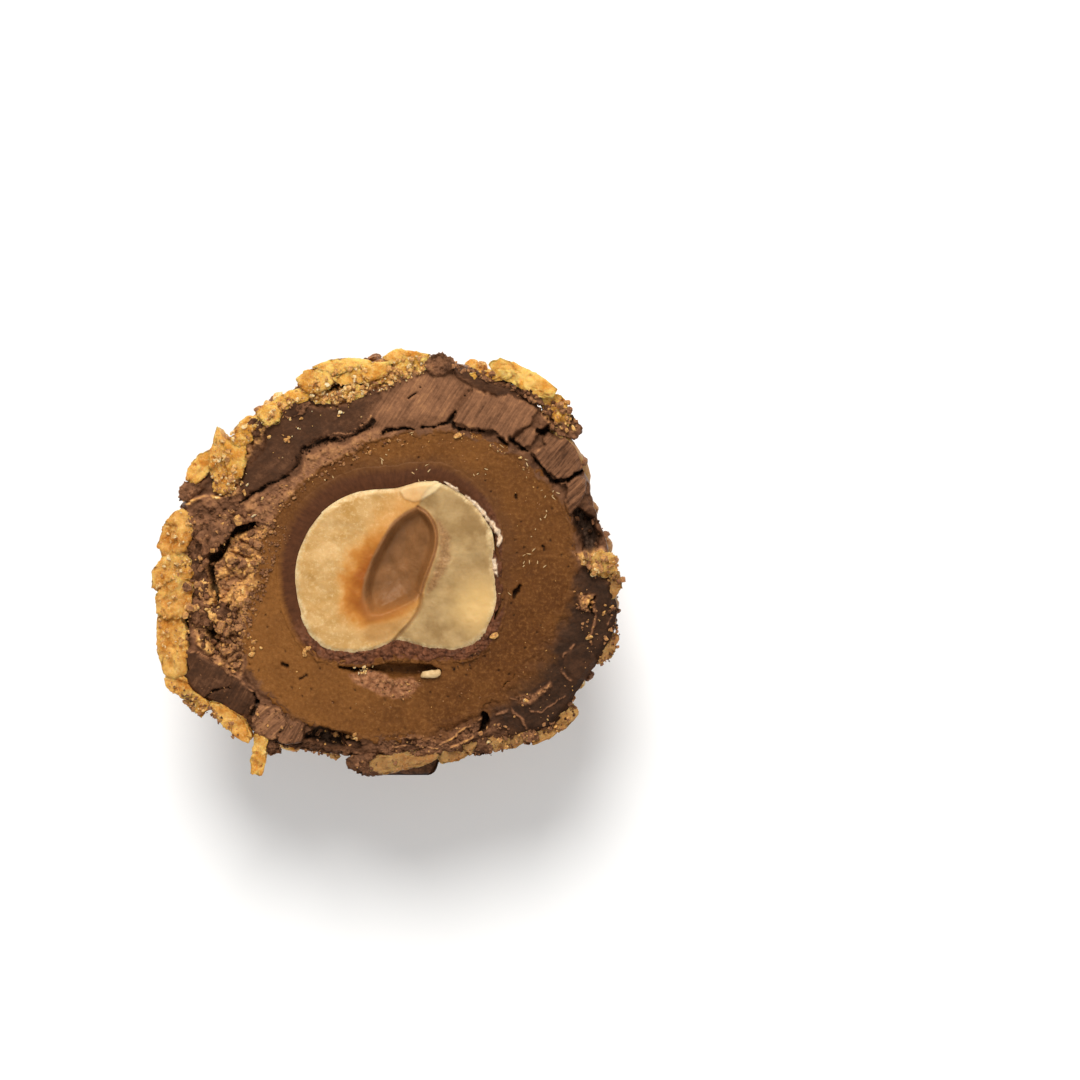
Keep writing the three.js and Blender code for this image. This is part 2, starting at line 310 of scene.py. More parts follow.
# %% Outlines on the cut
# kind, outline, height, slope, ragged edge, tone from dark to light, rib depth, direction of the ribs
SURFACES = [
    ("porous", [(-5.4, 11.4), (-3.6, 10.9), (-2.3, 11.0), (-0.3, 11.8), (1.7, 13.0), (2.8, 13.3),
        (2.8, 14.1), (0.9, 14.4), (-1.3, 13.7), (-3.8, 13.2), (-5.8, 12.8)],
     -0.1, (0, 0), 0.4, 0.6, 0, 0),
    ("porous", [(-11.8, 7.8), (-10.1, 9.1), (-8.3, 10.6), (-6.3, 11.7), (-6.2, 10.9), (-7.7, 9.4),
        (-8.7, 7.8), (-9.7, 6.7), (-9.9, 4.8), (-11.4, 5.0)],
     -0.1, (0, 0), 0.4, 0.5, 0, 0),
    ("porous", [(-15.8, 2.8), (-14.5, 3.8), (-13.2, 3.4), (-13.0, 0.8), (-13.6, -3.4), (-13.7, -6.6),
        (-15.8, -6.6)],
     -0.2, (0, 0), 0.4, 0.5, 0, 0),
    ("porous", [(-14.6, -8.1), (-13.3, -8.6), (-12.1, -9.4), (-10.7, -10.3), (-9.4, -11.0),
        (-9.4, -11.9), (-11.4, -11.3), (-13.4, -10.1), (-14.9, -8.9)],
     -0.3, (0, 0), 0.3, 0.5, 0, 0),
    ("crumbs", [(-13.4, 4.2), (-10.1, 4.8), (-8.3, 3.4), (-7.4, 1.5), (-8.1, -2.6), (-9.4, -5.2),
        (-9.9, -7.5), (-11.5, -6.7), (-12.9, -5.4), (-13.7, -3.4), (-13.7, 0.1)],
     -0.4, (0, 0), 0.3, 0.66, 0, 0),
    ("flaky", [(-13.7, 4.4), (-12.5, 4.7), (-10.3, 4.8), (-9.8, 4.3), (-9.4, 3.1), (-10.3, 2.1),
        (-11.4, 1.2), (-12.2, 0.1), (-13.2, 0.8), (-13.4, 2.8)],
     0.0, (0, 0.02), 0.25, 0.45, 0.12, 30),
    ("flaky", [(-9.9, 3.9), (-8.7, 4.8), (-7.1, 5.5), (-5.8, 6.3), (-5.4, 7.5), (-4.0, 8.3),
        (-2.8, 8.2), (-0.9, 9.3), (0.8, 9.5), (0.7, 8.7), (-1.3, 7.9), (-2.8, 7.1), (-4.6, 6.0),
        (-5.8, 5.1), (-6.8, 3.9), (-7.8, 2.7), (-9.0, 2.6), (-9.8, 3.2)],
     0.05, (0, 0.0), 0.25, 0.66, 0.13, 40),
    ("plate", [(4.4, 13.3), (5.4, 13.3), (7.0, 12.6), (9.0, 12.3), (10.1, 11.7), (10.9, 10.6),
        (10.3, 10.1), (9.3, 11.0), (7.5, 11.3), (6.0, 11.8), (4.7, 12.6)],
     0.1, (0, 0.05), 0.2, 0.16, 0.02, 0),
    ("crumbs", [(10.2, 10.6), (11.4, 11.3), (12.6, 10.7), (13.2, 9.5), (12.1, 8.9), (10.7, 9.4)],
     -0.2, (0, 0), 0.3, 0.6, 0, 0),
    ("crumbs", [(12.5, 0.9), (14.4, 1.2), (15.8, 0.4), (16.1, -0.9), (14.8, -1.3), (13.3, -0.1)],
     -0.2, (0, 0), 0.3, 0.7, 0, 0),
    ("plate", [(-9.9, 4.8), (-9.8, 5.6), (-9.5, 6.6), (-8.3, 7.8), (-8.1, 9.1), (-7.4, 10.1),
        (-6.6, 10.5), (-6.3, 11.1), (-5.6, 11.2), (-5.0, 10.8), (-4.3, 10.5), (-3.2, 10.7),
        (-2.1, 11.2), (-1.2, 11.7), (0.4, 12.2), (1.2, 12.8), (1.2, 11.1), (-0.7, 10.1), (-1.4, 9.1),
        (-2.3, 8.8), (-3.2, 8.5), (-3.9, 8.6), (-4.8, 8.2), (-5.5, 7.8), (-6.0, 6.7), (-7.0, 5.8),
        (-7.8, 5.4), (-9.0, 4.8), (-9.7, 4.3)],
     0.05, (0, 0.03), 0.22, 0.2, 0.012, 35),
    ("blended", [(-0.9, 11.0), (0.4, 12.1), (1.7, 13.0), (2.8, 13.3), (3.6, 13.0), (4.4, 12.8),
        (5.6, 11.9), (5.2, 11.3), (4.7, 10.5), (4.2, 9.7), (3.4, 9.5), (2.1, 9.3), (0.5, 9.2),
        (-0.1, 8.7), (-0.8, 9.0), (-1.3, 9.5), (-1.1, 10.3)],
     0.15, (0.0, -0.02), 0.3, 0.62, 0.045, 57),
    ("plate", [(5.8, 11.9), (6.3, 11.8), (7.4, 11.3), (8.3, 11.5), (9.3, 11.2), (10.2, 10.5),
        (9.5, 9.5), (8.7, 8.7), (8.1, 8.3), (7.1, 9.0), (5.6, 9.3), (4.4, 9.7), (4.8, 10.5), (5.4, 11.3)],
     0.28, (0.0, -0.02), 0.3, 0.54, 0.045, 58),
    ("plate", [(8.5, 8.5), (9.0, 9.0), (9.7, 9.4), (10.6, 9.3), (10.2, 8.7), (9.7, 8.1), (8.9, 7.9)],
     0.25, (0.04, 0.04), 0.2, 0.44, 0.05, 56),
    ("plate", [(10.7, 9.0), (11.7, 8.6), (12.5, 9.1), (13.0, 8.7), (13.2, 7.7), (13.6, 6.8),
        (12.9, 6.3), (12.3, 5.8), (11.7, 5.3), (11.3, 5.8), (10.7, 6.4), (9.7, 7.7), (10.5, 8.2)],
     0.35, (0.04, -0.05), 0.3, 0.42, 0.06, 48),
    ("plate", [(12.1, 5.5), (12.8, 6.2), (13.6, 5.8), (13.4, 5.0), (12.9, 4.0), (12.3, 3.4), (11.9, 4.4)],
     0.3, (0.0, -0.05), 0.3, 0.44, 0.06, 45),
    ("plate", [(-13.7, -5.4), (-12.8, -5.8), (-11.5, -6.6), (-10.3, -7.4), (-10.7, -8.2),
        (-11.7, -8.5), (-12.5, -9.2), (-13.0, -9.1), (-13.8, -8.5), (-14.0, -7.7), (-13.4, -7.0),
        (-13.8, -6.2)],
     0.15, (0.03, 0.08), 0.25, 0.25, 0.02, 60),
    ("plate", [(-10.5, -7.4), (-9.0, -8.5), (-8.8, -9.4), (-9.3, -10.3), (-10.4, -10.1),
        (-11.4, -9.5), (-12.2, -8.9), (-11.7, -8.5), (-10.7, -8.1)],
     -0.05, (0.0, 0.1), 0.25, 0.13, 0.03, 60),
    ("plate", [(-9.1, -11.4), (-9.2, -10.2), (-9.0, -9.5), (-8.3, -9.3), (-7.4, -9.7), (-6.6, -10.2),
        (-6.8, -11.1), (-7.7, -11.9), (-8.7, -11.7)],
     0.5, (-0.12, 0.06), 0.5, 0.66, 0.06, 40),
    ("plate", [(-6.8, -10.1), (-6.2, -10.4), (-5.4, -10.7), (-5.8, -11.9), (-6.8, -12.3),
        (-7.7, -12.0), (-7.0, -11.2)],
     0.35, (0.14, -0.08), 0.5, 0.42, 0.06, 60),
    ("flaky", [(-7.1, -12.2), (-5.8, -12.6), (-3.8, -13.0), (-1.9, -13.6), (-0.4, -13.8),
        (0.7, -13.2), (-0.9, -12.8), (-3.1, -12.5), (-5.8, -12.0)],
     -0.3, (0, 0), 0.2, 0.35, 0.1, -14),
    ("flaky", [(-0.7, -11.5), (0.9, -11.1), (3.0, -11.7), (4.6, -11.2), (6.2, -10.1), (6.8, -11.3),
        (5.9, -12.1), (4.3, -12.8), (2.3, -13.1), (0.3, -13.1), (-0.8, -12.6)],
     0.0, (0, 0), 0.2, 0.33, 0.14, 12),
    ("blended", [(13.0, -0.3), (14.2, -0.1), (15.6, -1.5), (16.2, -2.6), (16.2, -4.7), (15.6, -6.2),
        (15.0, -7.2), (14.0, -8.5), (12.6, -10.2), (10.5, -11.5), (9.0, -11.4), (7.7, -11.1),
        (6.8, -10.3), (7.7, -9.4), (8.7, -8.1), (10.1, -6.7), (11.1, -5.4), (11.8, -3.9), (12.3, -2.3)],
     0.0, (0.0, 0.0), 0.8, -0.06, 0.014, 30),
    ("plate", [(13.0, -5.3), (13.8, -5.6), (14.2, -6.4), (14.1, -7.4), (13.3, -7.9), (12.4, -7.7),
        (11.8, -6.8), (12.0, -5.9)],
     0.12, (0.02, 0.0), 0.08, 0.08, 0.01, 30),
    ("crumbs", [(12.8, -1.9), (14.0, -1.9), (14.1, -3.3), (13.0, -3.0)],
     0.05, (0, 0), 0.1, 0.62, 0, 0),
    ("crumbs", [(8.6, -8.7), (9.9, -8.6), (11.0, -7.8), (11.1, -8.2), (9.7, -9.4), (8.7, -9.5)],
     0.02, (0, 0), 0.2, 0.4, 0, 0),
]

# Each crack is a line on the cut, with its width at each point and its depth
CRACKS = [
    ([(-0.9, 9.7), (-1.5, 9.1), (-2.4, 8.8), (-3.2, 8.5), (-4.0, 8.6), (-5.0, 8.2), (-5.6, 7.7),
      (-6.0, 6.7), (-7.0, 5.8), (-7.9, 5.4), (-9.0, 4.9), (-9.8, 4.2)],
     [0.14, 0.26, 0.2, 0.3, 0.42, 0.3, 0.24, 0.12, 0.2, 0.12, 0.2, 0.24], 0.45),
    ([(-8.9, 2.8), (-9.7, 2.5), (-10.5, 2.1), (-11.1, 1.4), (-11.7, 0.4), (-11.9, -0.5),
      (-11.6, -1.7), (-11.5, -2.6)],
     [0.5, 0.7, 0.8, 1.0, 1.0, 0.6, 0.7, 0.4], 1.9),
    ([(-12.5, -2.6), (-12.1, -4.0), (-11.6, -5.1), (-11.3, -5.9)], [0.3, 0.7, 1.0, 0.6], 1.5),
    ([(-0.1, 9.0), (0.7, 9.2), (2.1, 9.2), (3.5, 9.5), (4.3, 9.7), (4.6, 9.3), (5.6, 9.1), (7.0, 8.9),
      (8.1, 8.2)],
     [0.3, 0.28, 0.12, 0.26, 0.2, 0.08, 0.16, 0.12, 0.4], 0.7),
    ([(5.6, 11.8), (5.2, 11.2), (4.7, 10.5), (4.2, 9.7)], [0.1, 0.14, 0.16, 0.25], 0.7),
    ([(2.2, 12.1), (1.9, 11.5), (1.5, 11.1)], [0.12, 0.2, 0.1], 0.5),
    ([(8.3, 8.6), (8.9, 8.2), (9.5, 7.8), (10.3, 6.7), (11.1, 5.6)], [0.5, 0.3, 0.2, 0.2, 0.25], 0.8),
    ([(10.2, 9.0), (10.7, 8.9), (11.1, 9.2), (11.7, 8.8), (12.3, 9.3),
      (12.8, 9.9)], [0.5, 0.7, 0.5, 0.4, 0.4, 0.5], 1.3),
    ([(11.4, 5.6), (12.1, 5.8), (12.6, 6.2), (13.6, 6.4)], [0.2, 0.25, 0.25, 0.3], 0.9),
    ([(12.9, 3.6), (13.3, 2.8), (13.6, 2.0), (13.6, 1.3)], [1.0, 1.8, 1.9, 1.2], 1.6),
    ([(-9.9, -8.6), (-10.7, -8.2), (-11.7, -8.5), (-12.3, -9.1)], [0.04, 0.08, 0.1, 0.12], 0.2),
    ([(-9.0, -8.6), (-8.7, -9.3), (-9.1, -10.1)], [0.2, 0.3, 0.3], 0.8),
    ([(-5.5, -11.6), (-4.7, -11.5), (-3.8, -11.8), (-2.8, -11.9),
      (-1.9, -12.3)], [0.5, 1.3, 1.5, 1.1, 0.5], 1.4),
    ([(6.6, -10.1), (6.7, -10.6), (6.4, -11.3)], [0.5, 0.8, 0.4], 1.8),
    ([(14.0, -2.1), (13.6, -2.8), (13.8, -3.3)], [0.2, 0.4, 0.15], 0.7),
    ([(-13.6, -3.4), (-13.4, -5.2), (-13.8, -6.0), (-13.4, -7.1)], [0.2, 0.3, 0.35, 0.3], 0.8),
    ([(-3.8, 11.9), (-3.0, 12.1), (-2.3, 11.8)], [0.4, 0.6, 0.3], 1.0),
    ([(-1.9, 12.3), (-1.5, 12.5)], [0.4, 0.3], 0.8),
]

# Raised broken edges that catch the light, with a painted highlight on them: line, width, height
RIDGES = [
    ([(8.2, -8.9), (8.9, -9.0), (9.6, -8.7)], 0.14, 0.08),
    ([(9.6, -9.8), (10.4, -9.9), (11.2, -9.4), (12.0, -8.9)], 0.14, 0.08),
    ([(14.9, -2.4), (15.2, -3.2), (14.8, -4.0)], 0.2, 0.12),
    ([(14.6, -6.2), (14.9, -6.8), (14.2, -7.8), (13.4, -8.7)], 0.2, 0.12),
    ([(-0.6, -12.0), (0.6, -12.4), (2.0, -12.2), (3.4, -12.4)], 0.16, 0.1),
    ([(7.4, -10.1), (8.3, -9.7), (8.9, -10.3), (9.5, -11.1)], 0.3, 0.16),
    ([(3.6, -12.1), (4.7, -11.5), (6.4, -10.4)], 0.24, 0.2),
    ([(0.7, -11.8), (2.0, -11.6), (3.2, -11.8)], 0.24, 0.16),
    ([(4.0, -12.5), (5.1, -12.0), (6.2, -11.4)], 0.22, 0.14),
    ([(14.0, -3.4), (14.0, -4.0), (13.6, -4.8), (13.8, -5.4)], 0.28, 0.12),
    ([(12.6, -5.3), (11.9, -6.0), (11.8, -7.0), (12.4, -7.8)], 0.26, 0.14),
    ([(-13.6, 4.2), (-12.6, 4.6), (-11.4, 4.7), (-10.2, 4.8)], 0.3, 0.2),
    ([(-13.7, -5.4), (-12.8, -5.8), (-11.5, -6.6), (-10.3, -7.4), (-9.0, -8.6)], 0.16, 0.1),
    ([(-0.9, 10.0), (-2.3, 9.0), (-4.0, 8.8), (-5.2, 8.1)], 0.16, 0.06),
]

# Pits and slits in the filling, each given as a crack is
SLITS = [
    ([(9.0, -1.3), (8.7, -1.7), (8.5, -2.2)], [0.2, 0.42, 0.2], 0.5),
    ([(-7.1, -6.7), (-6.8, -6.8)], [0.3, 0.3], 0.4),
    ([(-5.9, -7.7), (-5.5, -7.4)], [0.15, 0.2], 0.2),
    ([(8.7, 4.8), (8.7, 4.6)], [0.2, 0.25], 0.3),
    ([(10.5, 1.3), (10.6, 1.1)], [0.2, 0.2], 0.3),
    ([(3.8, 6.4), (4.0, 6.2)], [0.15, 0.15], 0.2),
    ([(2.9, 6.3), (3.1, 6.0)], [0.15, 0.15], 0.2),
    ([(-3.1, -6.8), (-2.3, -6.8), (-1.2, -7.0), (-0.1, -7.0), (1.2, -7.1), (2.6, -7.0),
      (3.5, -7.1)], [0.5, 0.9, 0.7, 1.0, 1.1, 0.9, 0.3], 0.9),
]
PINK = [(-2.6, -7.4), (-1.3, -7.0), (-0.4, -7.2), (0.4, -7.8), (1.7, -7.4), (2.3, -8.1), (1.7, -8.8),
        (0.7, -9.1), (-0.4, -8.7), (-1.3, -8.3), (-2.3, -7.9)]
print(len(SURFACES), "surfaces,", len(CRACKS), "cracks,", len(RIDGES), "ridges and", len(SLITS), "slits")


# %% Distances to outlines and lines
def to_segment(x, y, a, b):
    """Distance to a straight piece of line, and how far along it the nearest place is."""
    dx, dy = b[0] - a[0], b[1] - a[1]
    t = np.clip(((x - a[0]) * dx + (y - a[1]) * dy) / (dx * dx + dy * dy), 0, 1)
    return np.hypot(x - a[0] - t * dx, y - a[1] - t * dy), t


def inside(x, y, outline):
    """How deep inside an outline each place is: above 0 inside it, below 0 outside."""
    best = np.full(np.shape(x), 99.0)
    within = np.zeros(np.shape(x), bool)
    for a, b in zip(outline, outline[1:] + outline[:1]):
        best = np.minimum(best, to_segment(x, y, a, b)[0])
        crosses = (a[1] > y) != (b[1] > y)
        slope = (b[0] - a[0]) / ((b[1] - a[1]) or 1e-9)
        within ^= crosses & (x < a[0] + slope * (y - a[1]))
    return np.where(within, best, -best)


def curved(line, closed=False, parts=4):
    """A smooth curve through the points of a line or of a closed outline."""
    p = np.array(line)
    n = len(p)
    found = []
    for k in range(n if closed else n - 1):
        if closed:
            a, b, c, d = (p[(k + j) % n] for j in (-1, 0, 1, 2))
        else:
            a, b, c, d = (p[min(max(k + j, 0), n - 1)] for j in (-1, 0, 1, 2))
        for t in np.arange(parts) / parts:
            found.append(b + 0.5 * t * (c - a + t * (2 * a - 5 * b + 4 * c - d + t * (3 * (b - c) + d - a))))
    if not closed:
        found.append(p[-1])
    return [tuple(point) for point in found]


def within_crack(x, y, line, width, ragged=0.0):
    """How far inside a crack's wall each place is, as a share of its half width; ragged moves the wall."""
    best = np.full(np.shape(x), -99.0)
    for k in range(len(line) - 1):
        gap, t = to_segment(x, y, line[k], line[k + 1])
        half = mix(width[k], width[k + 1], t) / 2
        best = np.maximum(best, 1 - (gap - ragged) / half)
    return best


def cracked(flat, lines):
    """How deep cracks go at each place, and how much of the place is crack."""
    wander = wandering(flat, 0.2, 0.8, 101)
    ragged = 0.12 * rough(flat, 0.35, 104, 4, 0.75) + 0.1 * rough(flat, 1.2, 105, 2) - 0.02
    depth, share = np.zeros(len(flat)), np.zeros(len(flat))
    for line, width, down in lines:
        gap = step(0.0, 0.6, within_crack(wander[:, 0], wander[:, 1], line, width, ragged))
        depth = np.maximum(depth, down * gap)
        share = np.maximum(share, gap)
    return depth, share


def caramel_height(flat):
    """The nearly flat surface of the cut caramel."""
    return 0.06 * rough(flat, 2.4, 202, 3) + 0.06 * rough(flat, 0.5, 203, 4, 0.7)


# %% [markdown]
# ## The shell at the cut
# One spun layer carries the whole shell: the cut ring of broken chocolate, and the coat of milk
# chocolate on the round back. On the ring, each surface of the list is laid over the last, then ridges
# are raised and cracks go through everything. Each step also paints a value that the material reads.

# %% Make the shell's ring and coat
RING_STEPS, RING_ROWS, COAT_ROWS = 1080, 66, 24
OVERLAP = 1.1  # how far the ring reaches in over the filling
# All the way round: how light the caramel is, and how far its colour runs out over the ring
FILLING_TONES = [0.25, 0.4, 0.55, 0.5, 0.35, 0.45, 0.75, 0.9, 0.75, 0.4, 0.2, 0.15]
AMBER_WIDTHS = [0.9, 0.4, 0.3, 0.3, 0.4, 0.5, 0.5, 0.5, 0.5, 0.9, 1.6, 1.9]

shell, angle, part, place = spun_layer("shell", RING_STEPS, 2, RING_ROWS, COAT_ROWS)
dip = place * math.pi / 2
ragged = 0.22 * rough(to_points(14 * np.cos(angle), 14 * np.sin(angle)), 1.7, 5, 4, 0.6)
points = bowl_point(dome_radius(angle, dip) + ragged * np.cos(dip) ** 4, (0, 0), angle, dip)
wall = bowl_point(layer_radius(FILLING_RADII, FILLING_DEPTH, angle, dip, 0.1), FILLING_CENTRE, angle, dip)
points = np.where((part == INNER)[:, None], wall, points)
rim_in = bowl_point(around(FILLING_RADII, angle) - OVERLAP, FILLING_CENTRE, angle, 0 * angle)
rim_out = bowl_point(around(SHELL_EDGE, angle) + ragged, (0, 0), angle, 0 * angle)
points = np.where((part == FACE)[:, None], mix(rim_in, rim_out, place[:, None]), points)

on_face = part == FACE
fx, fy = points[on_face, 0], points[on_face, 1]
flat = np.stack([fx, fy], axis=-1)
wobble = wandering(flat, 0.2, 1.1, 11)
turn = np.arctan2(fy, fx)

# %% Textures that the surfaces share
big, big_own = broken(wobble, 1.4, 21, 1.0)
middling, middling_own = broken(wobble, 0.65, 22, 0.9)
small, _ = broken(wobble, 0.3, 23, 0.8)
fractal = rough(flat, 0.7, 29, 6, 0.8)
crumbs = 0.6 * big * big_own + 0.3 * middling * middling_own + 0.18 * small + 0.55 * fractal - 0.2
pores, _, _, _ = cells(wobble, 0.62, 31)
fine_pores, _, _, _ = cells(wobble, 0.3, 32)
porous = 0.35 * rough(flat, 1.2, 33) + 0.2 * middling
porous = porous - 0.45 * step(0.4, 0.15, pores) - 0.14 * step(0.4, 0.15, fine_pores)


def along_and_across(degrees, pull):
    """The cut's coordinates turned so that the second one runs across the ribs."""
    lean = math.radians(degrees)
    x, y = (0.7 * flat + 0.3 * wobble).T
    along = math.cos(lean) * x + math.sin(lean) * y
    across = -math.sin(lean) * x + math.cos(lean) * y
    return np.stack([along * pull, across], axis=-1)


# %% Lay the surfaces on the ring
BASE_LEVEL, BASE_TONE, BASE_DIRECTION = -0.3, 0.36, 20
EDGES = dict(  # how far outside and inside its outline a surface fades in
    plate=(-0.02, 0.08), blended=(-1.0, 1.0), flaky=(-0.12, 0.15), crumbs=(-0.12, 0.2), porous=(-0.12, 0.15),
)
FULL_RIBS = 0.06  # ribs of this depth show as full streaks

base_ribs = rough(along_and_across(BASE_DIRECTION, 0.4), 0.5, 35, 5, 0.6)
height = BASE_LEVEL + 0.22 * base_ribs + 0.14 * middling * middling_own
tone = BASE_TONE + 0.2 * base_ribs
crumb, wafer, streak = (np.zeros(len(fx)) for _ in range(3))
grain = np.concatenate([along_and_across(BASE_DIRECTION, 0.1), np.zeros((len(fx), 1))], axis=-1)

for number, (kind, outline, level, slope, uneven, shade, rib, direction) in enumerate(SURFACES):
    edge = inside(fx, fy, outline) + uneven * rough(flat, 0.8, 40 + number, 5, 0.6)
    cover = step(*EDGES[kind], edge)
    middle = np.mean(outline, axis=0)
    top = level + slope[0] * (fx - middle[0]) + slope[1] * (fy - middle[1])
    if kind == "crumbs":
        top = top + crumbs
        found_tone = shade - 0.1 + 0.2 * big_own + 0.2 * middling_own + 0.5 * fractal
    elif kind == "porous":
        top = top + porous
        found_tone = shade + 0.3 * rough(flat, 0.9, 37)
    elif kind == "flaky":
        ribs = rough(along_and_across(direction, 0.4), 0.6, 60 + number, 5, 0.7)
        top = top + 1.6 * rib * ribs + 0.4 * fractal + 0.25 * middling * middling_own
        top = top + 0.1 * small - 0.15 * step(0.25, 0.0, edge) - 0.12
        found_tone = shade + 0.06 + 0.3 * ribs + 0.5 * fractal
    else:
        ribs = rough(along_and_across(direction, 0.06), 0.3, 60 + number, 4, 0.65)
        top = top + 1.5 * rib * ribs + 0.1 * rough(flat, 1.4, 80 + number, 5, 0.6)
        found_tone = shade + 2.2 * rib * ribs + 0.18 * rough(flat, 1.2, 90 + number, 5, 0.72)
        if kind == "plate":
            top = top - 0.1 * step(0.16, 0.0, edge)
            worn = step(0.3, 0.06, edge) * step(-0.2, 0.5, rough(flat, 0.7, 99, 3))
            found_tone = found_tone + 0.2 * worn
    height = mix(height, top, cover)
    tone = mix(tone, found_tone, cover)
    crumb = mix(crumb, float(kind == "crumbs"), cover)
    wafer = mix(wafer, float(kind == "porous"), cover)
    streak = mix(streak, 0.3 if kind == "flaky" else min(1.0, rib / FULL_RIBS), cover)
    mine = np.concatenate([along_and_across(direction, 0.07), np.full((len(fx), 1), 3.0 * number)], axis=-1)
    grain = np.where((cover > 0.5)[:, None], mine, grain)
print("the ring's height runs from", round(height.min(), 2), "to", round(height.max(), 2), "mm")

# %% Raise the ridges and open the cracks
HIGHEST = 0.7
wander = wandering(flat, 0.2, 0.8, 101)
# Each ridge is raised, and its share also paints a highlight on it in the material
ridge_highlight = np.zeros(len(fx))
for line, width, rise in RIDGES:
    share = step(0.0, 0.7, within_crack(wander[:, 0], wander[:, 1], line, [width] * len(line)))
    share = share * step(-0.35, 0.2, rough(flat, 0.5, 103))
    height = height + rise * share
    ridge_highlight = np.maximum(ridge_highlight, share)

# The inner edge meets the caramel's height, takes its colour and dips under it
from_filling = np.linalg.norm(points[on_face] - rim_in[on_face], axis=-1) - OVERLAP
from_filling = from_filling + 0.25 + 0.85 * rough(flat, 1.3, 112, 6, 0.68)
level = caramel_height(flat) + 0.06 + 0.3 * (height - height.mean())
height = mix(height, level, step(1.1, 0.2, from_filling))
height = height - 0.5 * step(0.05, -0.35, from_filling)
# The cracks are sunk, and their share is painted dark in the material: painted shade
depth, crack_shade = cracked(flat, CRACKS)
height = height - depth
amber_width = around(AMBER_WIDTHS, turn) * (1 + 0.8 * rough(flat, 0.9, 110, 5, 0.7))
amber = step(1.0, 0.1, from_filling / np.maximum(amber_width, 0.1)) * (1 - crack_shade)
from_rim = np.linalg.norm(points[on_face] - rim_out[on_face], axis=-1)
height = np.minimum(height, HIGHEST) - 0.3 * step(0.5, 0.0, from_rim)
points[on_face, 2] = CUT + height
print("cracks take up", round(100 * crack_shade.mean(), 1), "% of the ring")


# %% Lumps on the coat of the back
def outward(p):
    away = p - np.array((0.0, 0.0, CUT))
    return away / np.maximum(np.linalg.norm(away, axis=-1, keepdims=True), 1e-6)


LOWEST = 0.05  # the coat stays just clear of the table
TUCK = np.array((0, 0, 0.3))  # the coat starts this far under the rim's edge

coat = part == OUTER
p = points[coat]
swell = (0.3 * rough(p, 2.6, 131, 3) + 0.14 * rough(p, 0.8, 132, 3)) * step(0.0, 0.05, place[coat])
points[coat] = p + outward(p) * swell[:, None] - TUCK * step(0.04, 0.0, place[coat])[:, None]
points[:, 2] = np.maximum(points[:, 2], LOWEST)

paint(shell, "coat", 1.0 - on_face)
paint_grain(shell, spread_over(on_face, grain))
found = dict(tone=tone, crumb=crumb, wafer=wafer, crack_shade=crack_shade, amber=amber, streak=streak, ridge_highlight=ridge_highlight)
finish_layer(shell, points, on_face, found | dict(light=around(FILLING_TONES, turn)))

# %% [markdown]
# ## The filling
# The caramel filling is soft and was cut cleanly, so it is nearly flat: faint drag marks, fine grit, a
# few pits and slits, and a torn pinkish patch under the nut. It is spun as the shell is.

# %% Make the filling
FILLING_REACH = 0.6  # how far it runs out under the ring
FILLING_TUCK = 0.3  # how far it runs in under the skin


def upper_side(turn):
    """1 towards the top of the cut, where the caramel by the skin is darker, and 0 towards the bottom."""
    return step(-0.6, 0.6, np.sin(turn + 0.4))


filling, angle, part, place = spun_layer("filling", steps=720, inner_rows=2, face_rows=60, outer_rows=12)
dip = place * math.pi / 2
skin_edge = around(NUT_RADII, angle) + around(SKIN_THICKNESSES, angle)
points = bowl_point(layer_radius(FILLING_RADII, FILLING_DEPTH, angle, dip, -0.05), FILLING_CENTRE, angle, dip)
socket_depth = mix(NUT_DEPTH + SKIN_DEPTH + 0.1, skin_edge + 0.1, np.cos(dip) ** 2)
points = np.where((part == INNER)[:, None], bowl_point(socket_depth, NUT_CENTRE, angle, dip), points)
rim_in = bowl_point(skin_edge - FILLING_TUCK, NUT_CENTRE, angle, 0 * angle)
rim_out = bowl_point(around(FILLING_RADII, angle) + FILLING_REACH, FILLING_CENTRE, angle, 0 * angle)
points = np.where((part == FACE)[:, None], mix(rim_in, rim_out, place[:, None]), points)
on_face = part == FACE
fx, fy = points[on_face, 0], points[on_face, 1]
flat = np.stack([fx, fy], axis=-1)
print("the filling's cut face has", len(flat), "points")

# %% Pits, slits and the torn patch of the filling
near, _, own, _ = cells(flat, 0.9, 201)
pits = step(0.03 + 0.1 * own, 0.02, near) * (own > 0.75)
wander = wandering(flat, 0.12, 0.6, 206)
height = caramel_height(flat) - 0.15 * pits
pink = step(-0.1, 0.12, inside(fx, fy, PINK) + 0.25 * rough(flat, 0.7, 208, 5, 0.6))
torn, _ = broken(flat, 0.6, 209)
height = height + pink * (0.2 * torn + 0.22 * rough(flat, 0.5, 210, 4, 0.6) - 0.12)
slit = np.zeros(len(fx))
for line, width, depth in SLITS:
    gap = step(0.0, 0.5, within_crack(wander[:, 0], wander[:, 1], line, width)) * (1 - 0.9 * pink)
    height = height - depth * gap
    slit = np.maximum(slit, gap)
# The same cracks run through the filling, sunk and painted dark: painted shade
depth, crack_shade = cracked(flat, CRACKS)
height = height - depth
from_end = np.linalg.norm(points[on_face] - rim_out[on_face], axis=-1)
height = height - 0.9 * step(0.3, 0.0, from_end - 0.35 - 0.5 * rough(flat, 0.8, 211, 5, 0.7))
points[on_face, 2] = CUT - 0.02 + height

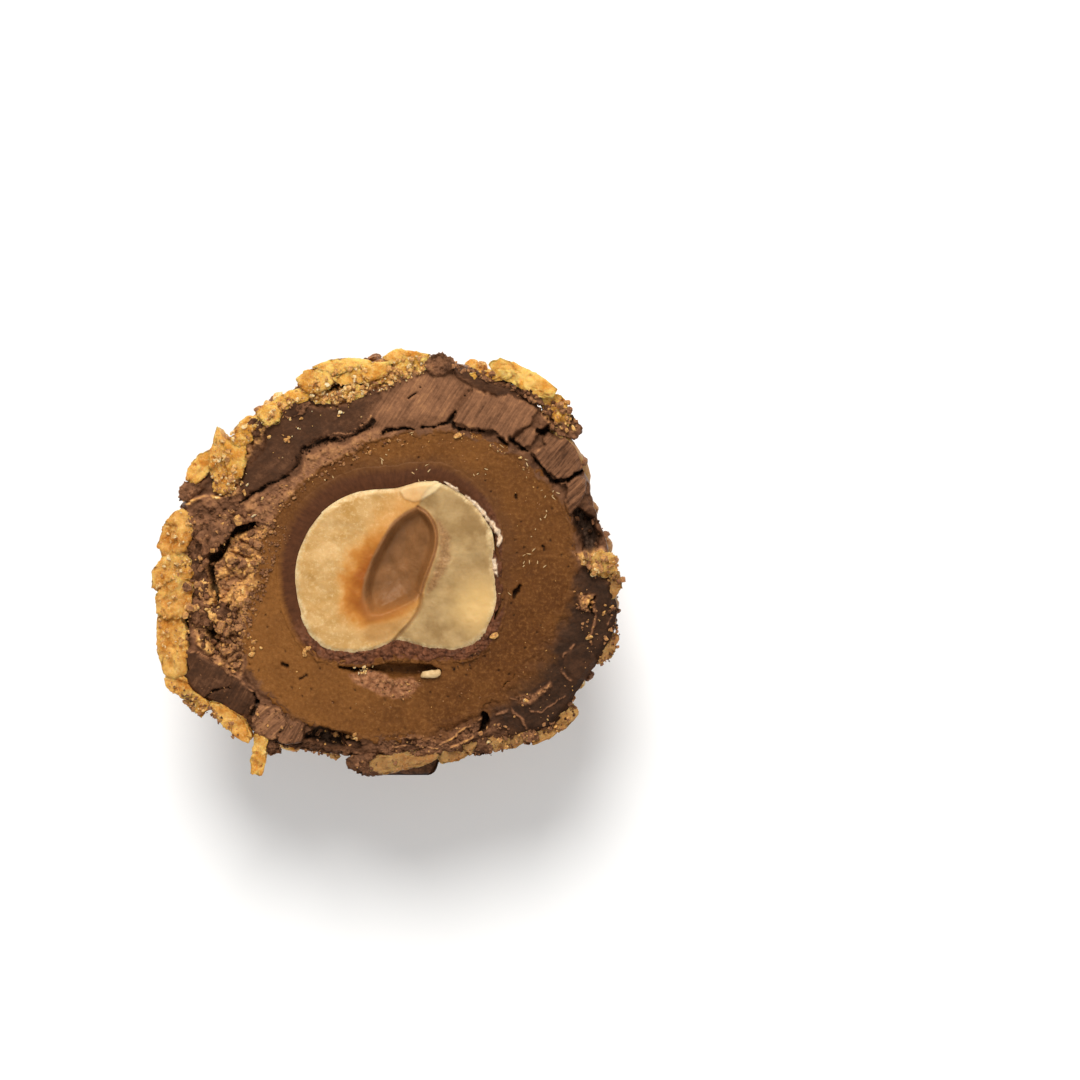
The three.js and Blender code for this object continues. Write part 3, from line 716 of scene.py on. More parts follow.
# %% Paint and finish the filling
from_skin = np.linalg.norm(points[on_face] - rim_in[on_face], axis=-1) - FILLING_TUCK
turn = np.arctan2(fy, fx)
in_slit = slit * (1 - 0.75 * step(-1.8, -0.4, fx) * step(-6.0, -6.4, fy))
finish_layer(filling, points, on_face, dict(
    inner=step(1.3, 0.0, from_skin + 0.4 * rough(flat, 0.8, 205)) * upper_side(turn),
    # painted shade: pits, slits and cracks are coloured near black, less so on the pocket's right wall
    pit_shade=np.maximum(np.maximum(pits, crack_shade), in_slit),
    pink=pink,
    light=around(FILLING_TONES, turn),
))

# %% [markdown]
# ## The nut's skin
# Between filling and nut runs a band of dark papery skin. The knife dragged it outward, so it carries
# fine streaks that run away from the nut. At the upper right it came loose: a pale rim stands there with
# a dark gap behind it.

# %% Make the skin
SOFTEST = math.radians(140)  # the side where the skin fades into the caramel most softly
PALE_RIM = [(3.9, 5.65), (4.6, 5.2), (5.4, 4.6), (6.0, 4.05), (6.6, 3.5), (7.1, 2.8), (7.5, 2.2),
        (7.6, 1.7), (7.4, 1.4)]
PALE_WIDTHS = [0.1, 0.3, 0.3, 0.34, 0.3, 0.34, 0.46, 0.4, 0.2]
PALE_PATCH = [(6.9, 0.4), (7.3, 0.6), (7.5, 0.0), (7.4, -0.7), (7.0, -0.6)]
SKIN_GAPS = [
    ([(6.3, 3.4), (6.7, 2.8), (7.0, 2.1), (7.25, 1.3), (7.4, 0.8),
      (7.6, 0.4)], [0.1, 0.3, 0.45, 0.45, 0.3, 0.2], 1.0),
    ([(7.8, 0.3), (7.9, -0.7), (7.9, -1.7), (7.7, -2.7), (7.2, -3.6)], [0.2, 0.3, 0.25, 0.25, 0.1], 0.6),
]

skin, angle, part, place = spun_layer("skin", steps=640, inner_rows=2, face_rows=20, outer_rows=6)
dip = place * math.pi / 2
nut_edge = around(NUT_RADII, angle)
skin_edge = nut_edge + around(SKIN_THICKNESSES, angle)
outer_wall = mix(NUT_DEPTH + SKIN_DEPTH, skin_edge, np.cos(dip) ** 2)
inner_wall = mix(NUT_DEPTH + 0.1, nut_edge + 0.05, np.cos(dip) ** 2)
points = bowl_point(np.where(part == INNER, inner_wall, outer_wall), NUT_CENTRE, angle, dip)
uneven = 0.14 * rough(to_points(7 * np.cos(angle), 7 * np.sin(angle)), 0.8, 211, 4, 0.6)
face_reach = mix(nut_edge - 0.05, skin_edge + 0.25 + uneven, place)
points = np.where((part == FACE)[:, None], bowl_point(face_reach, NUT_CENTRE, angle, 0 * angle), points)
on_face = part == FACE
fx, fy = points[on_face, 0], points[on_face, 1]
flat = np.stack([fx, fy], axis=-1)
print("the skin's cut face has", len(flat), "points")

# %% Streaks, lumps, pale rim and gaps of the skin
wander = wandering(flat, 0.1, 0.5, 214)
streaks = rough(np.stack([angle[on_face] * 7, place[on_face] * 0.5], axis=-1), 0.35, 212, 4, 0.65)
lumpy = step(-0.35, -0.75, np.sin(angle[on_face])) + 0.6 * step(0.6, 1.0, np.cos(angle[on_face]))
torn, _ = broken(flat, 0.5, 216, 0.9)
height = 0.02 + 0.004 * streaks + 0.04 * rough(flat, 1.1, 213) - 0.1 * step(0.3, 0.0, place[on_face])
height = height + lumpy * (0.18 * torn + 0.25 * rough(flat, 0.5, 218, 5, 0.75) - 0.05)
pale = within_crack(wander[:, 0], wander[:, 1], PALE_RIM, PALE_WIDTHS) + 0.7 * rough(flat, 0.3, 219, 3)
patch = inside(wander[:, 0], wander[:, 1], PALE_PATCH) + 0.2 * rough(flat, 0.3, 220)
pale = np.maximum(step(0.0, 0.5, pale), step(0.0, 0.15, patch))
height = height + pale * (0.1 + 0.12 * rough(flat, 0.35, 217, 4, 0.6))
gaps = np.zeros(len(fx))
ragged = 0.1 * rough(flat, 0.35, 221, 3, 0.7)
# The gaps are sunk, and in the material they are painted dark: painted shade
for line, width, depth in SKIN_GAPS:
    gap = step(0.0, 0.5, within_crack(wander[:, 0], wander[:, 1], line, width, ragged)) * (1 - pale)
    height = height - depth * gap
    gaps = np.maximum(gaps, gap)
outer = np.clip((face_reach[on_face] - nut_edge[on_face]) / (skin_edge - nut_edge)[on_face] - 0.15, 0, 1)
meets = step(0.45, 0.85, place[on_face]) * (1 - np.clip(lumpy, 0, 1)) * (1 - pale) * (1 - gaps)
height = mix(height, caramel_height(flat) + 0.01, meets)
height = height - 0.3 * step(0.93, 1.0, place[on_face]) * (1 - pale)
points[on_face, 2] = CUT + height

# %% Paint and finish the skin
grain = np.stack([angle[on_face] * 7, place[on_face] * 0.4, 0 * fx], axis=-1)
soft_side = step(-0.35, 0.15, np.cos(angle[on_face] - SOFTEST))
turn = np.arctan2(fy, fx)
paint_grain(skin, spread_over(on_face, grain))
finish_layer(skin, points, on_face, dict(
    outer=outer, pale=pale, gap=gaps, soft=soft_side, lumpy=lumpy,
    light=around(FILLING_TONES, turn),
    inner=upper_side(turn),
))

# %% [markdown]
# ## The nut
# The nut is a half ball with a kidney outline. Its two halves have shrunk apart and left a lens-shaped
# hollow: crisp along its right side, and soft and toasted along its left. Creases run on from both tips.

# %% Outlines on the nut
HOLLOW_RIGHT = [(2.1, 4.0), (2.8, 3.5), (3.3, 2.6), (3.4, 1.6), (3.1, 0.4), (2.6, -0.9), (2.3, -2.0)]
HOLLOW_LEFT = [(1.6, -2.5), (0.6, -3.0), (-0.5, -3.4), (-1.2, -3.3), (-1.55, -2.3), (-1.5, -1.2),
        (-1.1, 0.1), (-0.3, 1.7), (0.6, 3.0)]
HOLLOW_DEPTH = 1.5
HOLLOW_BOWL = dict(x=0.85, y=0.3, length=4.5, width=2.6, turn=67)
RIGHT_HALF = [(3.8, 5.9), (2.1, 4.0), (2.8, 3.5), (3.3, 2.6), (3.4, 1.6), (3.1, 0.4), (2.6, -0.9),
        (2.3, -2.0), (2.2, -2.8), (1.6, -3.8), (0.7, -4.8), (0.9, -6.2), (9.0, -6.2), (9.0, 5.9)]
LOW_CREASE = [(2.3, -2.0), (2.2, -2.8), (1.6, -3.8), (0.7, -4.8), (0.1, -5.6)]
WEDGE = [(1.1, 4.7), (1.0, 5.2), (1.9, 5.6), (3.0, 5.7), (3.8, 5.8), (3.5, 5.2), (2.8, 4.7),
        (2.0, 4.3), (1.5, 4.4)]
STRIPE = [(3.0, 3.3), (3.7, 3.0), (4.2, 2.1), (4.4, 1.1), (4.0, -0.3), (3.3, -1.5), (2.6, -1.9),
        (3.0, -0.5), (3.4, 0.7), (3.5, 1.7)]
LOBE = [(-1.3, -3.8), (0.0, -3.6), (1.1, -3.3), (1.9, -2.8), (2.2, -2.8), (1.6, -3.8), (0.7, -4.8),
        (-0.1, -5.3), (-1.3, -5.3), (-1.7, -4.6)]
TOAST_HEART = (-1.8, -1.2)
YELLOW_HEART = (6.3, -2.7)
print("the hollow in the nut is", HOLLOW_DEPTH, "mm deep")

# %% Make the nut
NUT_LIFT = 0.05  # it stands this much out of the cut

nut, angle, part, place = spun_layer("nut", 560, 0, face_rows=84, outer_rows=10, hollow=False)
dip = place * math.pi / 2
nut_edge = around(NUT_RADII, angle)
points = bowl_point(layer_radius(NUT_RADII, NUT_DEPTH, angle, dip), NUT_CENTRE, angle, dip)
cut_points = bowl_point(nut_edge * place, NUT_CENTRE, angle, 0 * angle)
points = np.where((part == FACE)[:, None], cut_points, points)
on_face = part == FACE
fx, fy = points[on_face, 0], points[on_face, 1]
flat = np.stack([fx, fy], axis=-1)


def soft_circle(middle, near, far):
    return step(far, near, np.hypot(fx - middle[0], fy - middle[1]))


def on_nut(outline, low, high, uneven=0.0, size=0.5, seed=0):
    """1 inside a smooth outline on the nut and 0 outside it, with an uneven edge."""
    edge = inside(fx, fy, curved(outline, True)) + uneven * rough(flat, size, seed)
    return step(low, high, edge)


def to_line(line):
    return np.min([to_segment(fx, fy, a, b)[0] for a, b in zip(line, line[1:])], axis=0)


# %% The hollow in the nut
tip = HOLLOW_RIGHT[0]
right_edge = curved(HOLLOW_RIGHT)
left_edge = curved([HOLLOW_RIGHT[-1]] + HOLLOW_LEFT + [tip])
within = inside(fx, fy, right_edge + left_edge[1:-1])
to_right, to_left = to_line(right_edge), to_line(left_edge)
lean = math.radians(HOLLOW_BOWL["turn"])
ax, ay = fx - HOLLOW_BOWL["x"], fy - HOLLOW_BOWL["y"]
lengthwise = (math.cos(lean) * ax + math.sin(lean) * ay) / HOLLOW_BOWL["length"]
sideways = (-math.sin(lean) * ax + math.cos(lean) * ay) / HOLLOW_BOWL["width"]
bowl = np.maximum(1 - lengthwise**2 - sideways**2, 0) ** 0.75 * step(0.0, 0.6, within)
height = -HOLLOW_DEPTH * bowl
soft = mix(0.1, 0.75, step(-1.6, -3.4, fy))
hollow = step(-soft, soft, within + 0.1 + 0.06 * rough(flat, 0.6, 304, 4, 0.6))
# Painted light in the hollow: its lower part and a strip along its right edge are coloured lighter,
# orange-tan
low_painted_light = step(-1.6, -3.6, fy + 0.5 * rough(flat, 1.0, 310, 3)) * 0.7
hollow_painted_light = np.maximum(step(0.9, 0.1, to_right) * 0.25, low_painted_light)

# %% Marks on the nut
toast = step(2.4, 0.0, to_left + 0.7 * rough(flat, 0.9, 301, 4, 0.6))
toast = toast * (0.35 + 0.65 * soft_circle(TOAST_HEART, 1.2, 4.6))
right = on_nut(RIGHT_HALF, -0.1, 0.15, 0.05, 0.6, 305) * (1 - hollow)
wedge = on_nut(WEDGE, -0.05, 0.1, 0.08, 0.5, 306)
stripe = on_nut(STRIPE, -0.15, 0.3, 0.2, 0.5, 307) * (1 - hollow)
lobe = on_nut(LOBE, -0.2, 0.5) * (1 - hollow)
toast = toast * (1 - right) * (1 - 0.8 * lobe)
# The creases and the crisp right edge of the hollow are sunk and painted darker: painted shade along them
crease = np.maximum(step(0.22, 0.0, to_line(curved(LOW_CREASE))), step(0.13, 0.0, to_right))
height = height - 0.16 * crease - 0.12 * right + 0.1 * wedge - 0.1 * lobe
height = height + 0.2 * rough(flat, 2.0, 302, 3) + 0.03 * rough(flat, 0.4, 303, 4, 0.65)
height = height + 0.08 * stripe * rough(flat, 0.3, 308, 3)
from_edge = nut_edge[on_face] * (1 - place[on_face])
# A painted highlight: a pale cream band along the nut's outer edge
edge_highlight = step(0.5, 0.1, from_edge + 0.25 * rough(flat, 0.5, 311, 4, 0.65))
points[on_face, 2] = CUT + NUT_LIFT + height - 0.16 * step(0.4, 0.0, from_edge)
finish_layer(nut, points, on_face, dict(
    hollow=hollow, toast=toast, right=right, wedge=wedge, stripe=stripe, lobe=lobe, edge_highlight=edge_highlight, hollow_painted_light=hollow_painted_light,
    warm=soft_circle(YELLOW_HEART, 0.3, 3.0) * right, crease=crease,
))

# %% [markdown]
# ## Wafer flakes
# The praline was rolled in broken wafer. A flake is a small plate with ragged broken sides and a
# blistered face. One cube, subdivided, is the start of them all. Each copy is pulled to a polygon of its
# own, roughened, and laid on the ball. The rule that places them is the one that placed the plain
# flakes, so they sit where those do.

# %% A cube to shape flakes from
def cube_grid(name, cuts):
    bpy.ops.object.select_all(action="DESELECT")
    bpy.ops.mesh.primitive_cube_add(size=2)
    cube = bpy.context.active_object
    cube.name = name
    bpy.ops.object.mode_set(mode="EDIT")
    bpy.ops.mesh.select_all(action="SELECT")
    bpy.ops.mesh.subdivide(number_cuts=cuts)
    bpy.ops.object.mode_set(mode="OBJECT")
    grid = read_points(cube)
    faces = np.array([face.vertices[:] for face in cube.data.polygons])
    bpy.data.objects.remove(cube)
    return grid, faces


def join_copies(name, copies, faces, painted, smooth=True):
    """One mesh from many shaped copies of the same grid."""
    count = len(copies[0])
    mesh = bpy.data.meshes.new(name)
    vertices = np.concatenate(copies) * MM
    all_faces = np.concatenate([faces + k * count for k in range(len(copies))])
    mesh.from_pydata(vertices.tolist(), [], all_faces.tolist())
    piece = add_object(name, mesh)
    for key, found in painted.items():
        paint(piece, key, np.concatenate(found))
    only(piece)
    if smooth:
        bpy.ops.object.shade_smooth()
    print(name + ":", len(copies), "copies,", triangles(piece), "triangles")
    return piece


def chance(flake, use):
    """The number from 0 to 1 that the flake's own rule draws for one use."""
    wave = math.sin(flake * 127.1 + use * 311.7) * 43758.5453
    return wave - math.floor(wave)


# %% Shape one flake
def polygon_reach(corners, angle):
    """How far a polygon round the origin reaches at each angle."""
    best = np.full(np.shape(angle), 99.0)
    dx, dy = np.cos(angle), np.sin(angle)
    for a, b in zip(corners, corners[1:] + corners[:1]):
        ex, ey = b[0] - a[0], b[1] - a[1]
        cross = dx * ey - dy * ex
        cross = np.where(np.abs(cross) < 1e-9, 1e-9, cross)
        far = (a[0] * ey - a[1] * ex) / cross
        share = (a[0] * dy - a[1] * dx) / cross
        hit = (far > 0) & (share > -0.02) & (share < 1.02)
        best = np.where(hit, np.minimum(best, far), best)
    return best


def plate_shapes(grid, flakes):
    """The points and pores of flat flakes. Each flake is given as its corners, thickness and seed."""
    count = len(grid)
    angle = np.arctan2(grid[:, 1], grid[:, 0])
    reach = np.concatenate([polygon_reach(corners, angle) for corners, _, _ in flakes])
    thickness = np.repeat([thick for _, thick, _ in flakes], count)
    own = np.repeat([37.0 * seed for _, _, seed in flakes], count)
    angle = np.tile(angle, len(flakes))
    level = np.tile(grid[:, 2], len(flakes))
    share = np.tile(np.maximum(np.abs(grid[:, 0]), np.abs(grid[:, 1])), len(flakes))
    ring = to_points(3 * np.cos(angle), 3 * np.sin(angle), own)
    reach = reach * (1 + 0.2 * rough(ring, 1.1, 401, 4, 0.6)) * (1 - 0.1 * share * level**2)
    p = to_points(np.cos(angle) * reach * share, np.sin(angle) * reach * share, 0.0)
    place = p + own[:, None]
    swell = 1 - 0.35 * share**6 + 0.25 * rough(place, 0.9, 402, 3)
    p[:, 2] = level * thickness / 2 * swell + 0.12 * rough(place, 1.8, 403, 2)
    place = p + own[:, None]
    near, _, grain_own, _ = cells(place, 0.5, 404)
    pore = step(0.34, 0.12, near) * (grain_own > 0.45)
    side = step(0.8, 1.0, share)
    out = to_points(np.cos(angle) * side, np.sin(angle) * side, 0.0)
    out[:, 2] = level * (1 - side)
    p = p + out * (0.1 * rough(place, 0.42, 405, 3, 0.65) - (0.08 + 0.1 * side) * pore)[:, None]
    return p.reshape(len(flakes), count, 3), pore


# %% Places of the flakes on the back
FLAKE_KINDS = [
    dict(count=20, length=(4.6, 6.4), lift=0.25, tilt=14),
    dict(count=38, length=(2.8, 4.2), lift=0.35, tilt=26),
    dict(count=50, length=(1.7, 2.6), lift=0.4, tilt=40),
]
FLAKE_THICKNESS = (0.75, 1.05)
FLAKE_SIDES = 6
FLAKE_TRIES = 60
FLAKE_TOP_DIP = 9  # degrees under the cut
FLAKE_SPACING = 0.43
FLAKE_CUTS = 9
FLAKE_TOP = CUT + 0.2


def flake_corners(seed, length):
    width = length * mix(0.55, 0.85, chance(seed, 5))
    corners = []
    for k in range(FLAKE_SIDES):
        angle = math.tau * (k + 0.5 * chance(seed, 20 + k)) / FLAKE_SIDES
        reach = mix(0.8, 1.12, chance(seed, 30 + k)) / 2
        corners.append((math.cos(angle) * reach * length, math.sin(angle) * reach * width))
    return corners


def flake_places():
    placed = []
    top_sine = math.sin(math.radians(FLAKE_TOP_DIP))
    for k, kind in enumerate(FLAKE_KINDS):
        for i in range(kind["count"]):
            seed = 100 * k + i + 1
            length = mix(*kind["length"], chance(seed, 1))
            best = None
            for t in range(FLAKE_TRIES):
                angle = math.tau * chance(seed, 40 + t)
                sine = mix(top_sine, 1, chance(seed, 140 + t))
                dip = math.asin(sine)
                out = Vector((math.cos(angle) * math.cos(dip), math.sin(angle) * math.cos(dip), -sine))
                gaps = (
                    out.angle(p["out"]) * DOME_DEPTH - FLAKE_SPACING * (p["length"] + length) for p in placed
                )
                room = min(gaps, default=9.0)
                if best is None or room > best["room"]:
                    best = dict(seed=seed, kind=kind, length=length, angle=angle, dip=dip, out=out, room=room)
                if room > 0:
                    break
            placed.append(best)
    return placed


def lay_on_back(points, spin, tilt, angle, dip, reach):
    turn = (
        Matrix.Rotation(angle, 3, "Z")
        @ Matrix.Rotation(math.pi / 2 + dip, 3, "Y")
        @ Matrix.Rotation(tilt, 3, "X")
        @ Matrix.Rotation(spin, 3, "Z")
    )
    middle = (
        reach * math.cos(dip) * math.cos(angle),
        reach * math.cos(dip) * math.sin(angle),
        CUT - reach * math.sin(dip),
    )
    return points @ np.array(turn).T + np.array(middle)


# %% Make the flakes of the back
def flake_thickness(seed):
    return mix(*FLAKE_THICKNESS, chance(seed, 2))


grid, faces = cube_grid("flake", FLAKE_CUTS)
placed = flake_places()
flakes = [(flake_corners(f["seed"], f["length"]), flake_thickness(f["seed"]), f["seed"]) for f in placed]
shapes, pore = plate_shapes(grid, flakes)
copies, owns, shaded_dulls = [], [], []
for flake, p in zip(placed, shapes):
    seed, kind = flake["seed"], flake["kind"]
    thickness = flake_thickness(seed)
    p[:, 2] -= (p[:, 0] ** 2 + p[:, 1] ** 2) / (2 * DOME_DEPTH) * 0.7
    reach = float(dome_radius(flake["angle"], flake["dip"])) + kind["lift"] - thickness / 2
    tilt = math.radians(kind["tilt"]) * (2 * chance(seed, 4) - 1)
    p = lay_on_back(p, math.tau * chance(seed, 3), tilt, flake["angle"], flake["dip"], reach)
    p[:, 2] = np.clip(p[:, 2], 0.0, FLAKE_TOP)
    # Flakes high on the right are painted darker and duller: painted shade
    right_of_middle, above_table = p[:, 0].mean(), p[:, 2].mean()
    shaded_dulls.append(np.full(len(p), step(10.0, 12.5, right_of_middle) * step(6.0, 9.0, above_table)))
    copies.append(p)
    owns.append(np.full(len(p), chance(seed, 6)))
back_flakes = join_copies("back_flakes", copies, faces, dict(pore=[pore], own=owns, dull_and_shade=shaded_dulls))

# %% [markdown]
# The pieces that the knife went through stand round the rim: broken wafers, and some lumps of
# chocolate. Their outlines were read off the cut. They are shaped from the same kind of cube, pulled to
# their outline on top and following the round back down.

# %% Make the pieces of the rim
# outline seen from above, height over the cut, reach down the back
RIM_WAFERS = [
    ([(-5.8, 12.6), (-5.4, 13.0), (-4.6, 13.2), (-3.8, 12.9), (-3.6, 12.3), (-4.0, 11.9),
      (-5.0, 11.7), (-5.6, 12.0)], 0.45, 2.4),
    ([(-4.6, 13.4), (-3.6, 13.8), (-2.4, 13.9), (-1.3, 13.8), (-1.3, 13.4), (-2.4, 13.1),
      (-3.5, 12.8), (-4.3, 12.8)], 0.2, 3.4),
    ([(-3.5, 12.6), (-2.4, 13.1), (-1.2, 13.5), (0.0, 13.6), (0.1, 13.1), (-0.5, 12.6), (-1.7, 12.3),
      (-3.0, 12.2)], 0.4, 2.0),
    ([(-2.8, 11.9), (-2.0, 12.2), (-1.5, 11.9), (-1.6, 11.4), (-2.4, 11.2), (-3.0, 11.5)], 0.2, 1.2),
    ([(-0.9, 13.2), (0.1, 13.4), (0.7, 13.2), (0.3, 12.5), (-0.7, 12.3)], 0.25, 1.6),
    ([(-5.0, 11.5), (-4.0, 11.8), (-3.4, 11.5), (-3.8, 11.0), (-4.6, 11.0)], 0.15, 1.2),
    ([(-8.1, 10.6), (-7.4, 11.1), (-6.4, 11.7), (-5.6, 11.9), (-5.0, 11.7), (-5.4, 11.1),
      (-6.4, 10.7), (-7.5, 10.1)], 0.1, 3.2),
    ([(-8.5, 10.3), (-8.1, 10.7), (-7.4, 10.7), (-7.0, 10.3), (-7.2, 9.7), (-7.9, 9.5),
      (-8.4, 9.8)], 0.4, 2.0),
    ([(-10.1, 9.1), (-9.7, 9.7), (-9.1, 10.1), (-8.5, 9.9), (-8.6, 9.3), (-9.2, 8.9),
      (-9.7, 8.7)], 0.25, 2.6),
    ([(-10.4, 8.6), (-9.7, 9.0), (-9.0, 8.9), (-8.9, 8.5), (-9.5, 8.1), (-10.2, 8.1)], 0.3, 1.4),
    ([(-11.7, 7.5), (-11.3, 9.1), (-10.9, 8.5), (-10.4, 7.8), (-10.4, 6.7), (-10.7, 5.8),
      (-11.4, 5.8), (-11.8, 6.6)], 0.3, 4.2),
    ([(-10.7, 8.2), (-10.1, 8.7), (-9.4, 8.2), (-9.5, 7.1), (-9.7, 6.2), (-10.4, 5.9),
      (-10.6, 7.0)], 0.45, 2.2),
    ([(-13.2, 6.6), (-12.6, 7.4), (-11.8, 7.7), (-11.6, 7.0), (-12.1, 6.2), (-12.8, 5.6),
      (-13.3, 6.0)], 0.0, 3.4),
    ([(-11.5, 5.6), (-11.0, 6.0), (-10.3, 5.9), (-10.2, 5.2), (-10.9, 5.0), (-11.5, 5.1)], 0.3, 1.4),
    ([(-15.2, 1.5), (-14.9, 2.6), (-14.4, 3.2), (-13.6, 3.6), (-13.1, 3.1), (-13.2, 2.0),
      (-13.6, 1.1), (-14.2, 0.5), (-14.9, 0.7)], 0.1, 3.6),
    ([(-15.6, -0.4), (-15.0, 0.4), (-14.1, 0.7), (-13.3, 0.3), (-13.2, -0.7), (-14.0, -1.4),
      (-14.9, -1.9), (-15.6, -1.3)], 0.2, 3.4),
    ([(-15.4, -2.1), (-14.9, -1.3), (-14.0, -0.8), (-13.2, -1.2), (-13.2, -2.4), (-13.7, -3.3),
      (-14.6, -3.5), (-15.3, -3.0)], 0.45, 3.0),
    ([(-15.3, -3.6), (-14.7, -3.2), (-14.0, -3.5), (-13.7, -4.6), (-13.6, -5.9), (-13.7, -7.0),
      (-14.4, -7.4), (-15.0, -7.1), (-15.3, -5.9), (-15.4, -4.6)], 0.2, 4.4),
    ([(-15.0, -7.7), (-14.4, -7.3), (-13.6, -7.7), (-13.2, -8.6), (-13.6, -9.1), (-14.2, -8.7),
      (-14.8, -8.2)], -0.1, 3.0),
    ([(-13.8, -8.7), (-13.1, -8.6), (-12.3, -9.1), (-12.1, -9.7), (-12.7, -10.1), (-13.4, -9.5)], 0.0, 2.6),
    ([(-11.8, -9.5), (-11.3, -9.3), (-10.5, -9.9), (-9.7, -10.5), (-9.3, -11.3), (-9.6, -11.8),
      (-10.4, -11.4), (-11.1, -10.7), (-11.7, -10.1)], 0.25, 3.0),
    ([(-9.0, -11.4), (-8.5, -11.2), (-8.1, -11.5), (-8.2, -12.3), (-8.3, -13.3), (-8.5, -14.0),
      (-9.2, -14.0), (-9.2, -13.0), (-9.0, -12.2)], 0.15, 1.3),
    ([(-1.0, -13.4), (-0.3, -12.9), (0.9, -12.8), (2.1, -12.6), (3.2, -12.8), (3.0, -13.2),
      (2.0, -13.6), (0.9, -13.8), (-0.1, -14.1), (-0.8, -14.0)], 0.15, 3.0),
    ([(3.4, -12.8), (4.2, -12.2), (5.2, -11.9), (5.9, -12.1), (5.6, -12.8), (4.8, -13.2),
      (3.8, -13.4)], -0.2, 2.4),
    ([(6.5, -12.1), (7.0, -11.5), (8.3, -11.0), (9.2, -11.3), (9.4, -11.9), (8.5, -12.4),
      (7.4, -12.6)], -0.4, 3.0),
    ([(9.5, -11.4), (10.5, -10.8), (11.4, -10.2), (12.4, -9.5), (12.7, -10.2), (12.0, -11.0),
      (11.1, -11.6), (10.1, -12.0)], -0.4, 3.0),
    ([(14.7, -1.0), (15.1, -0.3), (15.6, -0.5), (15.7, -1.4), (15.3, -2.1), (14.8, -1.9)], 0.0, 3.4),
    ([(14.2, -5.2), (14.8, -4.6), (15.5, -4.9), (15.3, -5.9), (14.4, -6.6), (14.1, -5.9)], -0.3, 2.6),
    ([(13.6, 0.4), (14.4, 1.0), (15.3, 0.6), (15.4, -0.1), (14.6, -0.7), (13.8, -0.4)], 0.35, 1.2),
    ([(0.7, 13.5), (1.3, 14.0), (2.6, 13.9), (2.7, 13.3), (1.8, 12.8), (0.9, 12.6)], 0.15, 1.8),
    ([(-0.1, 14.0), (0.7, 14.5), (1.6, 14.4), (2.8, 14.2), (2.6, 13.8), (1.5, 13.8),
      (0.4, 13.6)], 0.1, 3.2),
    ([(5.1, 12.9), (6.3, 13.0), (7.4, 13.2), (8.3, 13.1), (8.2, 12.6), (7.2, 12.4), (6.2, 12.5)], 0.0, 2.6),
    ([(7.2, 13.3), (7.8, 13.8), (8.6, 13.6), (9.4, 13.2), (10.4, 12.6), (11.1, 12.0), (10.9, 11.5),
      (10.3, 11.5), (9.5, 11.7), (8.7, 12.2), (7.6, 12.8)], 0.2, 2.4),
    ([(10.2, 11.3), (10.9, 11.6), (11.7, 11.3), (12.2, 10.5), (12.1, 9.5), (11.4, 9.8),
      (10.7, 10.4)], -0.1, 3.0),
]
RIM_CHOCOLATES = [
    ([(-2.7, -13.1), (-1.4, -12.9), (-0.6, -13.3), (-0.6, -14.2), (-1.6, -14.2), (-2.5, -13.8)], -0.1, 2.4),
    ([(2.7, 13.6), (3.1, 14.1), (3.8, 14.2), (4.4, 13.8), (4.3, 13.2), (3.6, 12.9),
      (3.0, 13.0)], 0.25, 3.2),
    ([(4.6, 13.0), (5.4, 13.1), (6.1, 12.7), (6.2, 12.3), (5.5, 12.3), (4.9, 12.5)], 0.0, 2.6),
    ([(8.6, 12.0), (9.4, 12.0), (10.2, 11.4), (10.4, 10.9), (9.7, 11.1), (8.9, 11.6)], 0.1, 2.4),
    ([(11.0, 9.4), (11.6, 10.0), (12.4, 10.0), (13.0, 9.3), (12.6, 8.7), (11.6, 8.8)], -0.3, 3.0),
    ([(-13.9, 5.0), (-13.5, 5.5), (-12.9, 5.6), (-12.5, 5.2), (-12.8, 4.6), (-13.3, 4.3),
      (-13.8, 4.5)], 0.0, 3.4),
    ([(-9.4, 9.2), (-9.1, 9.8), (-8.5, 9.9), (-8.3, 9.4), (-8.5, 8.8), (-9.1, 8.7)], 0.35, 1.6),
    ([(-7.0, 10.3), (-6.4, 11.0), (-5.6, 11.2), (-5.1, 10.9), (-5.5, 10.3), (-6.3, 10.1)], 0.2, 1.0),
    ([(-11.7, -2.8), (-11.0, -2.6), (-10.3, -3.0), (-10.3, -3.9), (-10.9, -4.6), (-11.5, -4.2)], 0.25, 1.2),
    ([(-12.8, 2.1), (-11.8, 3.0), (-10.7, 3.2), (-10.2, 2.7), (-10.9, 1.6), (-12.1, 1.1)], 0.3, 1.2),
    ([(-13.6, 0.4), (-13.0, 0.9), (-12.5, 0.1), (-12.1, -1.2), (-12.5, -2.0), (-13.2, -1.6),
      (-13.4, -0.5)], 0.0, 1.6),
    ([(-13.3, -2.6), (-12.6, -2.3), (-11.9, -3.0), (-12.1, -3.9), (-12.8, -4.0), (-13.3, -3.5)], 0.05, 1.4),
    ([(5.6, -12.1), (6.4, -11.6), (7.0, -12.0), (6.9, -12.7), (6.2, -12.8), (5.6, -12.6)], -0.2, 2.2),
    ([(9.0, -11.4), (9.6, -11.0), (10.0, -11.3), (9.9, -11.9), (9.3, -12.1)], -0.3, 2.0),
    ([(-7.9, -11.9), (-7.4, -12.1), (-7.3, -12.6), (-7.9, -12.8), (-8.1, -12.3)], 0.3, 1.0),
]
TAPER = 0.5
RIM_CUTS = 19


